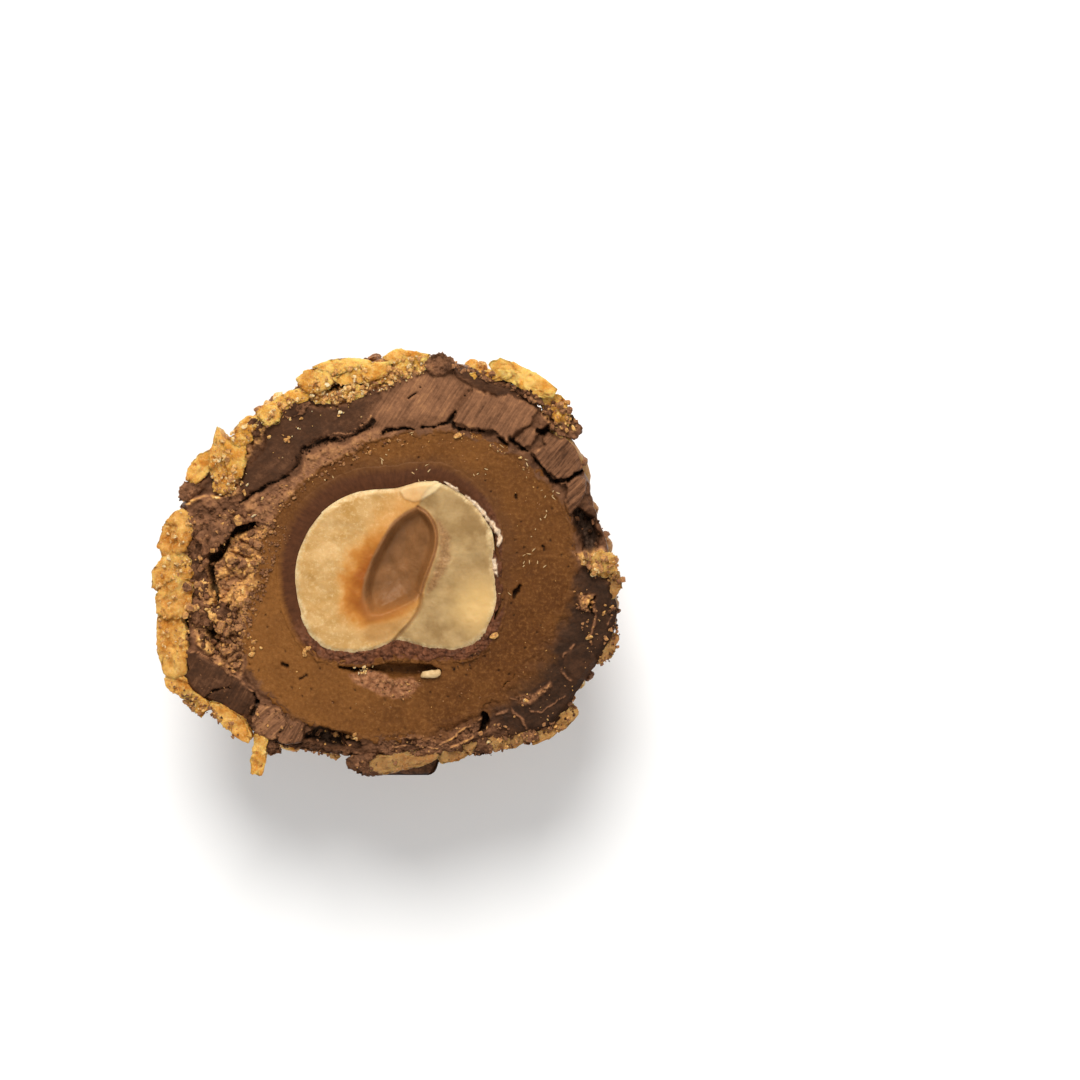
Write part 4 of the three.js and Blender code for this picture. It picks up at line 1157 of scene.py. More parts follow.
def block_shapes(grid, blocks, uneven):
    """Broken pieces of the rim, all at once: their points and pores."""
    count = len(grid)
    angle = np.arctan2(grid[:, 1], grid[:, 0])
    middles = [np.mean(outline, axis=0) for outline, _, _ in blocks]
    reach = np.concatenate([
        polygon_reach([(x - middle[0], y - middle[1]) for x, y in outline], angle)
        for (outline, _, _), middle in zip(blocks, middles)
    ])
    each = [(*middles[k], rise, down, 11.0 * k) for k, (_, rise, down) in enumerate(blocks)]
    middle_x, middle_y, rise, down, own = np.repeat(np.array(each).T, count, axis=1)
    angle = np.tile(angle, len(blocks))
    share = np.tile(np.maximum(np.abs(grid[:, 0]), np.abs(grid[:, 1])), len(blocks))
    under = np.tile((1 - grid[:, 2]) / 2, len(blocks))
    ring = to_points(2 * np.cos(angle), 2 * np.sin(angle), own)
    reach = reach * (1.16 + 1.7 * uneven * rough(ring, 0.9, 501, 6, 0.72)) * (1 - TAPER * under**2)
    x = middle_x + np.cos(angle) * reach * share
    y = middle_y + np.sin(angle) * reach * share
    drop = under * down * (0.85 + 0.35 * rough(ring, 1.6, 502, 2))
    out = np.hypot(middle_x, middle_y)
    inward = -(drop**2) / (2 * DOME_DEPTH) - 0.06 * drop
    p = to_points(x + middle_x / out * inward, y + middle_y / out * inward, CUT + rise - drop)
    place = p + own[:, None]
    near, _, grain_own, _ = cells(place, 0.5, 504)
    fine, _, _, _ = cells(place, 0.25, 505)
    pore = np.maximum(step(0.36, 0.14, near) * (grain_own > 0.45), 0.3 * step(0.4, 0.2, fine))
    top = (under < 0.001).astype(float)
    _, _, layer_own, away = cells(place[:, :2], 1.7, 508)
    lean = math.tau * 7 * layer_own
    layers = 0.7 * (layer_own - 0.5) + 0.6 * (away[:, 0] * np.cos(lean) + away[:, 1] * np.sin(lean))
    relief = 2.4 * uneven * rough(place, 0.9, 506, 6, 0.76) + 0.45 * layers
    relief = relief - 0.14 * pore - 0.1 * share**8
    p[:, 2] += np.where(top > 0, relief, 0.0)
    side = (1 - top) * (share > 0.999)
    push = side * (1.3 * uneven * rough(place, 0.5, 507, 4, 0.72) - 0.07 * pore)
    p[:, 0] += np.cos(angle) * push
    p[:, 1] += np.sin(angle) * push
    return p.reshape(len(blocks), count, 3), pore


grid, faces = cube_grid("rim_piece", RIM_CUTS)
shapes, pore = block_shapes(grid, RIM_WAFERS, 0.15)
owns = [  # the left ones are the more toasted
    np.full(len(grid), 0.45 * chance(number, 8) + 0.55 * step(-16, -8, shape[:, 0].mean()))
    for number, shape in enumerate(shapes)
]
# Along the bottom the crust is partly covered in chocolate. There and at the lower right the pieces are also
# painted darker as shade
shaded_dulls = []  # duller along the bottom and at the lower right
for shape in shapes:
    x, y, _ = shape.mean(axis=0)
    dull_and_shade = max(step(-9.5, -11.0, y) * step(-8.5, -6.5, x), step(13.0, 14.5, x) * step(1.5, -1.0, y))
    shaded_dulls.append(np.full(len(grid), dull_and_shade))
rim_wafers = join_copies("rim_wafers", list(shapes), faces, dict(pore=[pore], own=owns, dull_and_shade=shaded_dulls))
shapes, _ = block_shapes(grid, RIM_CHOCOLATES, 0.22)
owns = [np.full(len(grid), 0.2 + 0.8 * chance(number, 9)) for number in range(len(shapes))]
rim_chocolates = join_copies("rim_chocolates", list(shapes), faces, dict(own=owns))

# %% [markdown]
# The praline stood on a small flat foot of chocolate before it was cut. Half of that disc shows as a
# dark edge under the lower rim. A blunt cone is laid on its side, cut off under the cut face and bevelled.

# %% Make the foot
FOOT = dict(x=0.5, radius=3.7, end_radius=2.7, reach=14.35, thickness=2.4, set_back=0.7, bevel=0.35)

bpy.ops.object.select_all(action="DESELECT")
bpy.ops.mesh.primitive_cone_add(
    vertices=48, radius1=FOOT["radius"] * MM, radius2=FOOT["end_radius"] * MM,
    depth=FOOT["thickness"] * MM, location=(0, 0, 0), rotation=(math.pi / 2, 0, 0),
)
foot = bpy.context.active_object
foot.name = "foot"
bpy.ops.object.transform_apply(location=False, rotation=True, scale=False)
bpy.ops.object.mode_set(mode="EDIT")
bpy.ops.mesh.select_all(action="SELECT")
bpy.ops.mesh.bisect(
    plane_co=(0, 0, -FOOT["set_back"] * MM), plane_no=(0, 0, 1), use_fill=True, clear_outer=True,
)
bpy.ops.mesh.select_all(action="SELECT")
bpy.ops.mesh.bevel(offset=FOOT["bevel"] * MM, segments=3, affect="EDGES")
bpy.ops.mesh.subdivide(number_cuts=3)
bpy.ops.object.mode_set(mode="OBJECT")
p = read_points(foot) / MM + (FOOT["x"], -FOOT["reach"] + FOOT["thickness"] / 2, CUT)
p = p + 0.06 * np.stack([rough(p, 1.2, seed, 3) for seed in (521, 522, 523)], axis=-1)
write_points(foot, p * MM)
paint(foot, "own", np.zeros(len(p)))
close_up(foot)
print("foot:", triangles(foot), "triangles")

# %% [markdown]
# ## Crumbs and flecks
# Loose crumbs lie in heaps where the shell crumbled, and a few lie on the plates. One crumb is a small
# ball whose points are pushed back to a few cutting planes, which gives broken corners. Every crumb is
# a copy with planes of its own, set down on the surface under it. Thin pale flecks of nut and sugar lie
# on the filling in the same way.

# %% Shape the crumbs
CUTTING_PLANES = 6


def crumb_shapes(grid, count, random):
    ball = grid / np.linalg.norm(grid, axis=1, keepdims=True)
    shapes = np.repeat(ball[None], count, axis=0)
    for _ in range(CUTTING_PLANES):
        normal = random.normal(size=(count, 1, 3))
        normal /= np.linalg.norm(normal, axis=-1, keepdims=True)
        over = np.maximum((shapes * normal).sum(-1) - random.uniform(0.3, 0.8, (count, 1)), 0)
        shapes -= over[..., None] * normal
    lumps = noise((shapes + 5.0 * np.arange(count)[:, None, None]).reshape(-1, 3), 0.75, 601)
    return shapes * (1.15 + 0.4 * lumps.reshape(count, -1, 1)) + random.normal(0, 0.06, shapes.shape)


def turned(shapes, random):
    """Turns each copy by a random rotation."""
    q = random.normal(size=(len(shapes), 4))
    w, x, y, z = (q / np.linalg.norm(q, axis=1, keepdims=True)).T
    rows = [
        [1 - 2 * (y * y + z * z), 2 * (x * y - z * w), 2 * (x * z + y * w)],
        [2 * (x * y + z * w), 1 - 2 * (x * x + z * z), 2 * (y * z - x * w)],
        [2 * (x * z - y * w), 2 * (y * z + x * w), 1 - 2 * (x * x + y * y)],
    ]
    return np.einsum("nvj,ijn->nvi", shapes, np.array(rows))


# %% The surface that crumbs lie on
CARRIERS = (shell, filling, skin, rim_wafers, rim_chocolates)
DEEPEST = 2.6  # crumbs lie no deeper than this under the cut
NEAR = 0.13  # a place with no point of the surface this near has nothing under it
NOWHERE = -99.0

surface = KDTree(sum(len(piece.data.vertices) for piece in CARRIERS))
heights = []
for piece in CARRIERS:
    for x, y, z in read_points(piece) / MM:
        if z > CUT - DEEPEST:
            surface.insert((x, y, 0), len(heights))
            heights.append(z)
surface.balance()
print("crumbs can lie on", len(heights), "points")


def surface_height(x, y):
    """The height under each place, or a number far below where nothing lies within reach."""
    found = []
    for a, b in zip(x, y):
        nearest = surface.find_n((a, b, 0), 3)
        highest = max(heights[number] for _, number, _ in nearest)
        found.append(highest if nearest[0][2] < NEAR else NOWHERE)
    return np.array(found)


def scatter(outline, count, random):
    corners = np.array(outline)
    found = np.empty((0, 2))
    while len(found) < count:
        tries = random.uniform(corners.min(axis=0), corners.max(axis=0), (4 * count, 2))
        found = np.concatenate([found, tries[inside(tries[:, 0], tries[:, 1], outline) > 0]])
    return found[:count]


# %% Heap the crumbs
# outline, how many, size from and to, shade from dark to pale, how high the heap is
HEAPS = [
    ([(-13.3, 3.6), (-10.3, 4.3), (-8.6, 3.2), (-7.7, 2.1), (-8.3, 0.1), (-9.1, -2.6), (-9.9, -5.2),
      (-9.9, -7.1), (-10.9, -7.2), (-11.7, -5.8), (-12.9, -5.0), (-13.6, -3.0), (-13.6, 0.1)],
     230, (0.14, 0.8), (0.3, 0.74), 0.2),
    ([(-9.0, 3.1), (-6.8, 2.8), (-6.4, 1.9), (-7.4, 0.4), (-8.1, -1.9), (-8.9, -3.9), (-9.8, -5.9),
      (-10.1, -3.9), (-9.1, -1.2), (-8.6, 1.1)],
     300, (0.1, 0.34), (0.34, 0.64), 0.06),
    ([(-11.4, -2.6), (-9.4, -2.6), (-9.8, -5.2), (-9.9, -7.2), (-10.9, -7.4),
      (-11.5, -5.9)], 60, (0.3, 0.9), (0.45, 0.72), 0.35),
    ([(-11.7, 6.2), (-9.7, 6.2), (-9.5, 4.8), (-11.4, 4.7)], 60, (0.16, 0.5), (0.45, 0.95), 0.3),
    ([(-5.2, 11.9), (-2.8, 12.1), (-1.3, 12.2), (0.4, 13.2), (2.7, 13.8), (2.7, 13.0), (0.9, 12.2),
      (-1.3, 11.4), (-2.4, 10.9), (-4.7, 10.9)], 220, (0.12, 0.45), (0.55, 0.95), 0.2),
    ([(-8.3, 10.1), (-6.4, 11.4), (-5.4, 11.4), (-6.4, 10.2), (-7.9, 9.3), (-8.9, 8.2),
      (-9.4, 8.5)], 50, (0.14, 0.4), (0.4, 0.95), 0.2),
    ([(10.5, 10.7), (11.4, 11.4), (12.6, 10.9), (13.0, 9.5), (12.1, 8.9),
      (10.9, 9.4)], 80, (0.16, 0.6), (0.3, 0.85), 0.4),
    ([(12.8, 0.7), (14.6, 1.1), (15.8, 0.1), (16.0, -1.1), (14.5, -1.2),
      (13.4, -0.3)], 60, (0.2, 0.7), (0.5, 0.95), 0.3),
    ([(12.5, 3.4), (13.6, 3.6), (14.5, 2.8), (14.6, 1.2), (13.3, 0.9)], 16, (0.2, 0.5), (0.0, 0.5), 0.1),
    ([(-5.5, -11.3), (-3.8, -11.4), (-2.3, -11.9), (-2.7, -12.6), (-4.6, -12.2)], 26, (0.16, 0.5),
      (0.1, 0.8), 0.3),
    ([(-3.4, -11.3), (-2.1, -11.3), (-2.0, -12.1), (-3.0, -12.2)], 14, (0.2, 0.5), (0.6, 0.85), 0.3),
    ([(-0.3, -11.5), (3.0, -11.5), (6.2, -10.3), (7.0, -11.1), (3.6, -12.8),
      (-0.1, -13.2)], 60, (0.12, 0.35), (0.2, 0.7), 0.1),
    ([(-12.8, -4.4), (-11.5, -4.8), (-11.0, -6.0), (-11.9, -5.9)], 20, (0.2, 0.6), (0.0, 0.4), 0.1),
    ([(12.5, -1.6), (14.2, -1.6), (14.4, -5.2), (13.3, -5.2)], 30, (0.12, 0.35), (0.4, 0.8), 0.1),
    ([(15.2, -2.0), (15.9, -2.2), (15.6, -5.5), (14.2, -8.0), (12.5, -10.2), (12.0, -9.8), (13.6, -7.8),
      (15.0, -5.2)], 80, (0.12, 0.45), (0.12, 0.55), 0.1),
    ([(-7.0, -12.2), (-3.8, -12.8), (-0.9, -13.2), (3.6, -12.9), (7.0, -12.2), (12.0, -10.3), (12.3, -10.8),
      (7.2, -12.9), (3.6, -13.5), (-0.9, -14.0), (-4.4, -13.4), (-7.2, -12.9)], 110, (0.12, 0.4),
     (0.15, 0.62), 0.1),
    ([(4.4, 13.6), (7.2, 12.9), (10.4, 11.2), (11.2, 10.2), (10.8, 9.8), (9.9, 10.9), (7.0, 12.3),
      (4.4, 13.1)], 130, (0.15, 0.6), (0.15, 0.6), 0.1),
    ([(13.3, 8.6), (14.2, 6.6), (14.6, 3.8), (14.2, 3.6), (13.6, 6.4), (12.8, 8.2)], 80, (0.15, 0.5),
     (0.12, 0.5), 0.1),
    ([(14.6, -2.6), (16.0, -2.8), (15.6, -5.9), (14.4, -7.9), (13.8, -7.7),
      (14.6, -5.2)], 40, (0.16, 0.5), (0.15, 0.8), 0.15),
    ([(6.8, -10.3), (9.0, -11.3), (11.7, -10.3), (13.3, -8.6), (13.7, -9.3), (11.7, -11.1),
      (8.3, -12.1)], 40, (0.16, 0.45), (0.15, 0.7), 0.15),
    ([(-14.6, -7.9), (-12.1, -9.3), (-11.0, -10.3), (-12.1, -10.3), (-13.8, -9.3)], 50, (0.16, 0.5),
      (0.2, 0.85), 0.3),
    ([(-7.2, -12.1), (-3.8, -12.8), (-0.9, -13.3), (-1.3, -13.8), (-4.4, -13.2),
      (-7.0, -12.6)], 40, (0.16, 0.4), (0.1, 0.6), 0.2),
    ([(-3.8, -6.2), (-1.7, -6.8), (0.9, -7.1), (3.6, -6.8), (5.6, -5.9), (6.7, -4.6), (7.0, -5.2),
      (5.6, -6.7), (3.0, -7.4), (-1.1, -7.4), (-3.4, -6.8)],
     40, (0.1, 0.3), (0.05, 0.45), 0.05),
    ([(-2.3, -6.8), (-0.9, -6.7), (-0.8, -7.3), (-2.1, -7.3)], 26, (0.12, 0.3), (0.86, 0.95), 0.2),
    ([(-1.3, -7.7), (2.3, -7.7), (1.7, -8.9), (0.7, -9.1), (-0.4, -8.7)], 60, (0.1, 0.34), (0.5, 0.72), 0.1),
    ([(-1.0, 9.9), (-0.9, 9.3), (-3.2, 8.3), (-5.0, 7.9), (-5.9, 6.9), (-6.3, 7.1), (-5.4, 8.1), (-4.3, 8.8),
      (-3.0, 8.8)], 90, (0.12, 0.36), (0.0, 0.22), 0.0),
    ([(-5.8, -5.5), (-5.2, -5.2), (-5.0, -5.8), (-5.6, -6.2)], 2, (0.25, 0.45), (0.7, 0.85), 0.0),
    ([(-9.4, -4.7), (-8.3, -5.0), (-8.6, -6.0), (-9.5, -6.0)], 9, (0.2, 0.5), (0.68, 0.85), 0.1),
    ([(-9.8, 6.2), (-7.8, 9.5), (-3.8, 10.9), (-0.9, 11.2), (-1.7, 9.9), (-5.8, 8.2),
      (-8.3, 5.8)], 20, (0.1, 0.22), (0.6, 1.0), 0.0),
    ([(-3.6, 10.6), (-2.7, 10.6), (-2.7, 9.8), (-3.5, 9.8)], 3, (0.14, 0.26), (0.8, 0.95), 0.05),
    ([(-7.0, 8.9), (-6.3, 8.9), (-6.3, 8.3), (-6.8, 8.2)], 4, (0.2, 0.35), (0.55, 0.9), 0.1),
    ([(-0.7, 12.5), (0.9, 13.2), (1.7, 13.2), (-0.4, 11.5)], 14, (0.1, 0.25), (0.9, 1.0), 0.0),
    ([(-13.2, -5.9), (-10.5, -7.7), (-9.1, -9.3), (-10.5, -9.8), (-12.8, -8.6),
      (-13.6, -6.8)], 12, (0.08, 0.2), (0.3, 0.75), 0.0),
    ([(-9.0, -11.5), (-9.0, -9.6), (-7.4, -9.7), (-5.5, -10.6), (-5.8, -11.9), (-7.7, -12.0)], 60,
     (0.12, 0.4), (0.3, 0.68), 0.05),
    ([(7.7, -8.6), (13.0, -2.6), (14.4, -2.6), (14.4, -5.9), (11.7, -10.6),
      (7.7, -10.9)], 46, (0.08, 0.22), (0.45, 0.9), 0.0),
    ([(0.9, 8.9), (7.7, 8.2), (10.7, 4.2), (11.7, -2.6), (7.7, -8.6), (0.9, -10.9), (-5.8, -9.3),
      (-8.3, -3.9), (-7.1, -5.2), (-3.8, -8.6), (0.9, -9.3), (7.7, -5.2), (9.0, 0.1), (7.7, 5.5),
      (0.9, 8.2)],
     50, (0.07, 0.16), (0.5, 0.9), 0.0),
    ([(-9.1, 4.2), (-5.8, 6.2), (-3.1, 7.8), (0.4, 9.3), (0.9, 8.5), (-3.1, 6.7), (-5.8, 4.8),
      (-8.1, 2.4)], 170, (0.1, 0.34), (0.4, 0.72), 0.05),
    ([(0.9, 8.5), (5.6, 9.0), (8.5, 7.9), (10.3, 5.5), (9.9, 5.2), (8.1, 7.4), (5.6, 8.3),
      (1.2, 7.8)], 40, (0.08, 0.24), (0.5, 0.85), 0.0),
    ([(-11.7, 5.8), (-11.4, 8.2), (-9.5, 9.8), (-6.4, 11.7), (-3.8, 13.0), (-0.4, 13.8), (2.6, 14.1),
      (2.6, 13.2), (0.3, 12.3), (-2.4, 11.1), (-5.8, 11.1), (-8.3, 9.7), (-9.8, 7.5), (-10.1, 5.2)],
     330, (0.12, 0.55), (0.68, 0.95), 0.12),
    ([(-15.3, -5.2), (-15.4, -1.9), (-14.9, 2.1), (-13.6, 3.8), (-12.8, 2.8), (-13.2, 0.1),
      (-13.2, -3.2), (-13.6, -6.6), (-14.5, -7.7)],
     150, (0.14, 0.5), (0.72, 0.94), 0.12),
    ([(-14.9, -7.7), (-13.6, -8.2), (-11.4, -9.8), (-9.4, -11.5), (-10.5, -11.7), (-12.8, -10.3),
      (-14.4, -9.0)],
     60, (0.16, 0.5), (0.4, 0.85), 0.2),
    ([(3.6, -12.8), (6.3, -11.8), (9.7, -11.4), (12.5, -9.9), (12.5, -10.9), (9.7, -12.1),
      (6.3, -12.8)],
     60, (0.16, 0.5), (0.4, 0.85), 0.2),
]
BACK_CRUMBS = 420
SINGLES = [  # place, size, stretch, direction, shade
    ((7.2, -4.7), 0.6, 0.7, 30, 0.8), ((-3.1, 10.3), 0.34, 0.8, 40, 0.93),
    ((-5.7, 9.9), 0.3, 0.8, 10, 0.85), ((-6.4, 9.9), 0.25, 0.8, 70, 0.85), ((-7.8, 8.7), 0.3, 0.8, 20, 0.9),
    ((-6.6, 8.5), 0.4, 0.6, 30, 0.7), ((-5.6, -5.8), 0.45, 0.6, 80, 0.78), ((-9.3, 5.5), 0.25, 0.8, 50, 0.98),
    ((-8.3, 4.6), 0.3, 0.5, 60, 0.85), ((-8.9, 3.4), 0.35, 0.4, 20, 0.98), ((9.3, -9.1), 0.45, 0.8, 10, 0.85),
    ((13.6, -4.8), 0.5, 0.6, 20, 0.8), ((4.8, 8.8), 0.5, 0.7, 20, 0.75), ((9.0, 7.3), 0.3, 0.7, 20, 0.8),
]
ABOVE_TABLE = (-99, -99, 0.02)  # the least that each coordinate of a crumb may be


def turned_about_z(shape, angle):
    return shape @ np.array(Matrix.Rotation(angle, 3, "Z")).T


SEED = 7
random = np.random.default_rng(SEED)
SIZES = dict(crumbs=(0.32, 9.0, cube_grid("crumb", 2)), fine_crumbs=(0.0, 0.32, cube_grid("fine crumb", 1)))
FINE = SIZES["fine_crumbs"][2]
laid = []  # place, size, shade of every crumb that lies on the cut
for outline, count, (small_size, large_size), (dark, pale), pile in HEAPS:
    places = scatter(outline, count, random)
    size = mix(small_size, large_size, random.uniform(0, 1, count) ** 2.5)
    level = surface_height(places[:, 0], places[:, 1]) + random.uniform(0, 1, count) ** 2 * pile + 0.1 * size
    laid.append(np.column_stack([places, level, size, random.uniform(dark, pale, count)])[level > 0])
laid = np.concatenate(laid)

crumb_pieces = []
for name, (smallest, largest, (grid, faces)) in SIZES.items():
    x, y, level, size, shade = laid[(laid[:, 3] >= smallest) & (laid[:, 3] < largest)].T
    flattened = random.uniform(0.5, 1, (len(x), 1, 3))
    shapes = turned(crumb_shapes(grid, len(x), random) * flattened, random) * size[:, None, None] / 2
    copies = list(shapes + np.column_stack([x, y, level])[:, None])
    shades = [np.full(len(grid), value) for value in shade]
    if name == "crumbs":
        for (x, y), length, stretch, direction, own in SINGLES:
            shape = crumb_shapes(grid, 1, random)[0] * length / 2 * (1, stretch, stretch)
            shape = turned_about_z(shape, math.radians(direction))
            level = surface_height([x], [y])[0]
            if level > 0:
                copies.append(shape + (x, y, level + 0.15 * length))
                shades.append(np.full(len(grid), own))
        for _ in range(BACK_CRUMBS):
            angle, dip = random.uniform(0, math.tau), math.asin(random.uniform(0.08, 0.97))
            shape = turned(crumb_shapes(grid, 1, random), random)[0] * random.uniform(0.3, 1.0) / 2
            copies.append(shape + bowl_point(float(dome_radius(angle, dip)) + 0.15, (0, 0), angle, dip))
            shades.append(np.full(len(grid), random.uniform(0.35, 0.92)))
    copies = [np.maximum(copy, ABOVE_TABLE) for copy in copies]
    crumb_pieces.append(join_copies(name, copies, faces, dict(shade=shades), smooth=False))

# %% Lay the flecks
FLECKS = [(-0.1, 7.7), (-0.4, 7.0), (2.4, 6.7), (1.7, 6.2), (6.0, 6.3), (7.0, 6.3), (9.3, 7.0),
        (9.5, 6.6), (10.7, 4.8), (11.0, 4.5), (10.3, 3.6), (10.7, 3.2), (11.1, 5.1), (9.7, 2.3),
        (9.9, 0.9), (9.3, 0.5), (10.1, 0.1), (9.1, 0.4), (2.3, 5.8), (-3.6, 6.2), (1.6, 8.9),
        (7.7, 7.8), (8.0, -2.0)]
grid, faces = FINE
copies = []
for x, y in FLECKS:
    for _ in range(2):
        shape = crumb_shapes(grid, 1, random)[0] * np.array((random.uniform(0.1, 0.34), 0.07, 0.05)) / 2
        shape = turned_about_z(shape, random.uniform(0, math.pi))
        a, b = np.array((x, y)) + random.normal(0, 0.22, 2)
        level = surface_height([a], [b])[0]
        if level > 0:
            copies.append(shape + (a, b, level + 0.03))
flecks = join_copies("flecks", copies, faces, {}, smooth=False)

# %% Lay the white fragment under the nut
FRAGMENT = dict(x=3.05, y=-7.3, length=1.35, width=0.62, height=0.4, turn=8)

bpy.ops.object.select_all(action="DESELECT")
bpy.ops.mesh.primitive_uv_sphere_add(segments=28, ring_count=14, radius=0.5)
fragment = bpy.context.active_object
fragment.name = "fragment"
p = read_points(fragment) * (FRAGMENT["length"], FRAGMENT["width"], FRAGMENT["height"])
p = turned_about_z(p * (1 + 0.5 * rough(p, 0.5, 602, 3, 0.6))[:, None], math.radians(FRAGMENT["turn"]))
p = p + (FRAGMENT["x"], FRAGMENT["y"], surface_height([FRAGMENT["x"]], [FRAGMENT["y"] - 0.2])[0] + 0.15)
write_points(fragment, p * MM)
bpy.ops.object.shade_smooth()
print("fragment:", triangles(fragment), "triangles")

# %% [markdown]
# ## Materials
# Every material is built from noise and from the values painted on the points. A ramp of brown shades is
# used by several of them, so it is made once as a node group: 0 is the darkest chocolate, then milk
# chocolate, tan crumb and golden wafer, up to pale nut at 1.

# %% Node helpers
def material(name, roughness, specular=0.4, subsurface=0.0, subsurface_radius=(1.0, 0.5, 0.25), scale=1.0):
    mat = bpy.data.materials.new(name)
    mat.use_nodes = True
    shader = mat.node_tree.nodes["Principled BSDF"]
    shader.inputs["Roughness"].default_value = roughness
    shader.inputs["Specular IOR Level"].default_value = specular
    shader.inputs["Specular Tint"].default_value = (1.0, 0.78, 0.6, 1.0)
    shader.inputs["Subsurface Weight"].default_value = subsurface
    shader.inputs["Subsurface Radius"].default_value = subsurface_radius
    shader.inputs["Subsurface Scale"].default_value = scale * MM
    return mat, mat.node_tree, shader


def painted(tree, name, output="Fac"):
    node = tree.nodes.new("ShaderNodeAttribute")
    node.attribute_name = name
    return node.outputs[output]


def object_place(tree):
    return tree.nodes.new("ShaderNodeTexCoord").outputs["Object"]


def srgb(*colour):
    """A colour from its screen values, 0 to 255."""
    return [((v / 255 + 0.055) / 1.055) ** 2.4 if v > 10 else v / 255 / 12.92 for v in colour] + [1.0]


def noise_node(tree, size, detail=3.0, rough_share=0.55, place=None):
    node = tree.nodes.new("ShaderNodeTexNoise")
    node.inputs["Scale"].default_value = 1 / (size * MM)
    node.inputs["Detail"].default_value = detail
    node.inputs["Roughness"].default_value = rough_share
    tree.links.new(place or object_place(tree), node.inputs["Vector"])
    return node.outputs["Fac"]


def spread(tree, value, low, high, to_low=0.0, to_high=1.0):
    node = tree.nodes.new("ShaderNodeMapRange")
    for key, number in (("From Min", low), ("From Max", high), ("To Min", to_low), ("To Max", to_high)):
        node.inputs[key].default_value = number
    tree.links.new(value, node.inputs["Value"])
    return node.outputs["Result"]


def blend(tree, share, first, second, kind="MIX"):
    """Mixes two colours, each a socket or a fixed colour, by a share that is a socket or a number."""
    node = tree.nodes.new("ShaderNodeMix")
    node.data_type = "RGBA"
    node.blend_type = kind
    node.clamp_result = True
    for key, value in ((0, share), (6, first), (7, second)):
        if isinstance(value, bpy.types.NodeSocket):
            tree.links.new(value, node.inputs[key])
        else:
            node.inputs[key].default_value = value
    return node.outputs[2]


def join_values(tree, how, first, second):
    node = tree.nodes.new("ShaderNodeMath")
    node.operation = how
    for key, value in enumerate((first, second)):
        if isinstance(value, bpy.types.NodeSocket):
            tree.links.new(value, node.inputs[key])
        else:
            node.inputs[key].default_value = value
    return node.outputs[0]


def times(tree, first, second):
    return join_values(tree, "MULTIPLY", first, second)


def add(tree, *values):
    total = values[0]
    for value in values[1:]:
        total = join_values(tree, "ADD", total, value)
    return total


def mottle_node(tree, size, detail, rough_share, low, high, to_low=0.0, to_high=1.0):
    """Noise whose middle values, from low to high, are spread over a new range."""
    return spread(tree, noise_node(tree, size, detail, rough_share), low, high, to_low, to_high)


def dress(pieces, mat, colour, relief, depth, strength):
    """Gives a material its colour and its fine relief, and the pieces their material."""
    tree = mat.node_tree
    shader = tree.nodes["Principled BSDF"]
    node = tree.nodes.new("ShaderNodeBump")
    node.inputs["Strength"].default_value = strength
    node.inputs["Distance"].default_value = depth * MM
    tree.links.new(relief, node.inputs["Height"])
    tree.links.new(node.outputs["Normal"], shader.inputs["Normal"])
    tree.links.new(colour, shader.inputs["Base Color"])
    for piece in pieces:
        piece.data.materials.append(mat)
    print(mat.name, "is on", ", ".join(piece.name for piece in pieces))


# %% The group of brown shades
SHADES = [
    (0.0, srgb(40, 24, 15)), (0.2, srgb(74, 46, 29)), (0.45, srgb(130, 88, 60)),
    (0.65, srgb(170, 120, 78)), (0.8, srgb(216, 158, 86)), (0.92, srgb(228, 188, 120)),
    (1.0, srgb(234, 214, 172)),
]


def shades_group():
    group = bpy.data.node_groups.new("shades of brown", "ShaderNodeTree")
    group.interface.new_socket("Shade", in_out="INPUT", socket_type="NodeSocketFloat")
    group.interface.new_socket("Color", in_out="OUTPUT", socket_type="NodeSocketColor")
    start = group.nodes.new("NodeGroupInput")
    end = group.nodes.new("NodeGroupOutput")
    ramp = group.nodes.new("ShaderNodeValToRGB")
    for place, colour in SHADES[1:-1]:
        ramp.color_ramp.elements.new(place).color = colour
    ramp.color_ramp.elements[0].color = SHADES[0][1]
    ramp.color_ramp.elements[-1].color = SHADES[-1][1]
    group.links.new(start.outputs["Shade"], ramp.inputs["Fac"])
    group.links.new(ramp.outputs["Color"], end.inputs["Color"])
    return group


BROWNS = shades_group()


def shade_of_brown(tree, value):
    node = tree.nodes.new("ShaderNodeGroup")
    node.node_tree = BROWNS
    tree.links.new(value, node.inputs["Shade"])
    return node.outputs["Color"]


# %% Caramel colours, which the shell and the skin share at their edges
CARAMEL_DARK, CARAMEL_LIGHT, CARAMEL_GRAIN = srgb(82, 46, 18), srgb(124, 78, 35), srgb(146, 98, 52)
CARAMEL_SHADOW, INNER_CARAMEL = srgb(60, 33, 14), srgb(84, 52, 30)


def caramel_colour(tree, light):
    tone = add(tree, light, mottle_node(tree, 2.2, 5, 0.55, 0.3, 0.7, -0.25, 0.25))
    colour = blend(tree, tone, CARAMEL_DARK, CARAMEL_LIGHT)
    grain = noise_node(tree, 0.26, 4, 0.75)
    colour = blend(tree, spread(tree, grain, 0.5, 0.72, 0.0, 0.55), colour, CARAMEL_GRAIN)
    return blend(tree, spread(tree, grain, 0.46, 0.3, 0.0, 0.4), colour, CARAMEL_SHADOW)


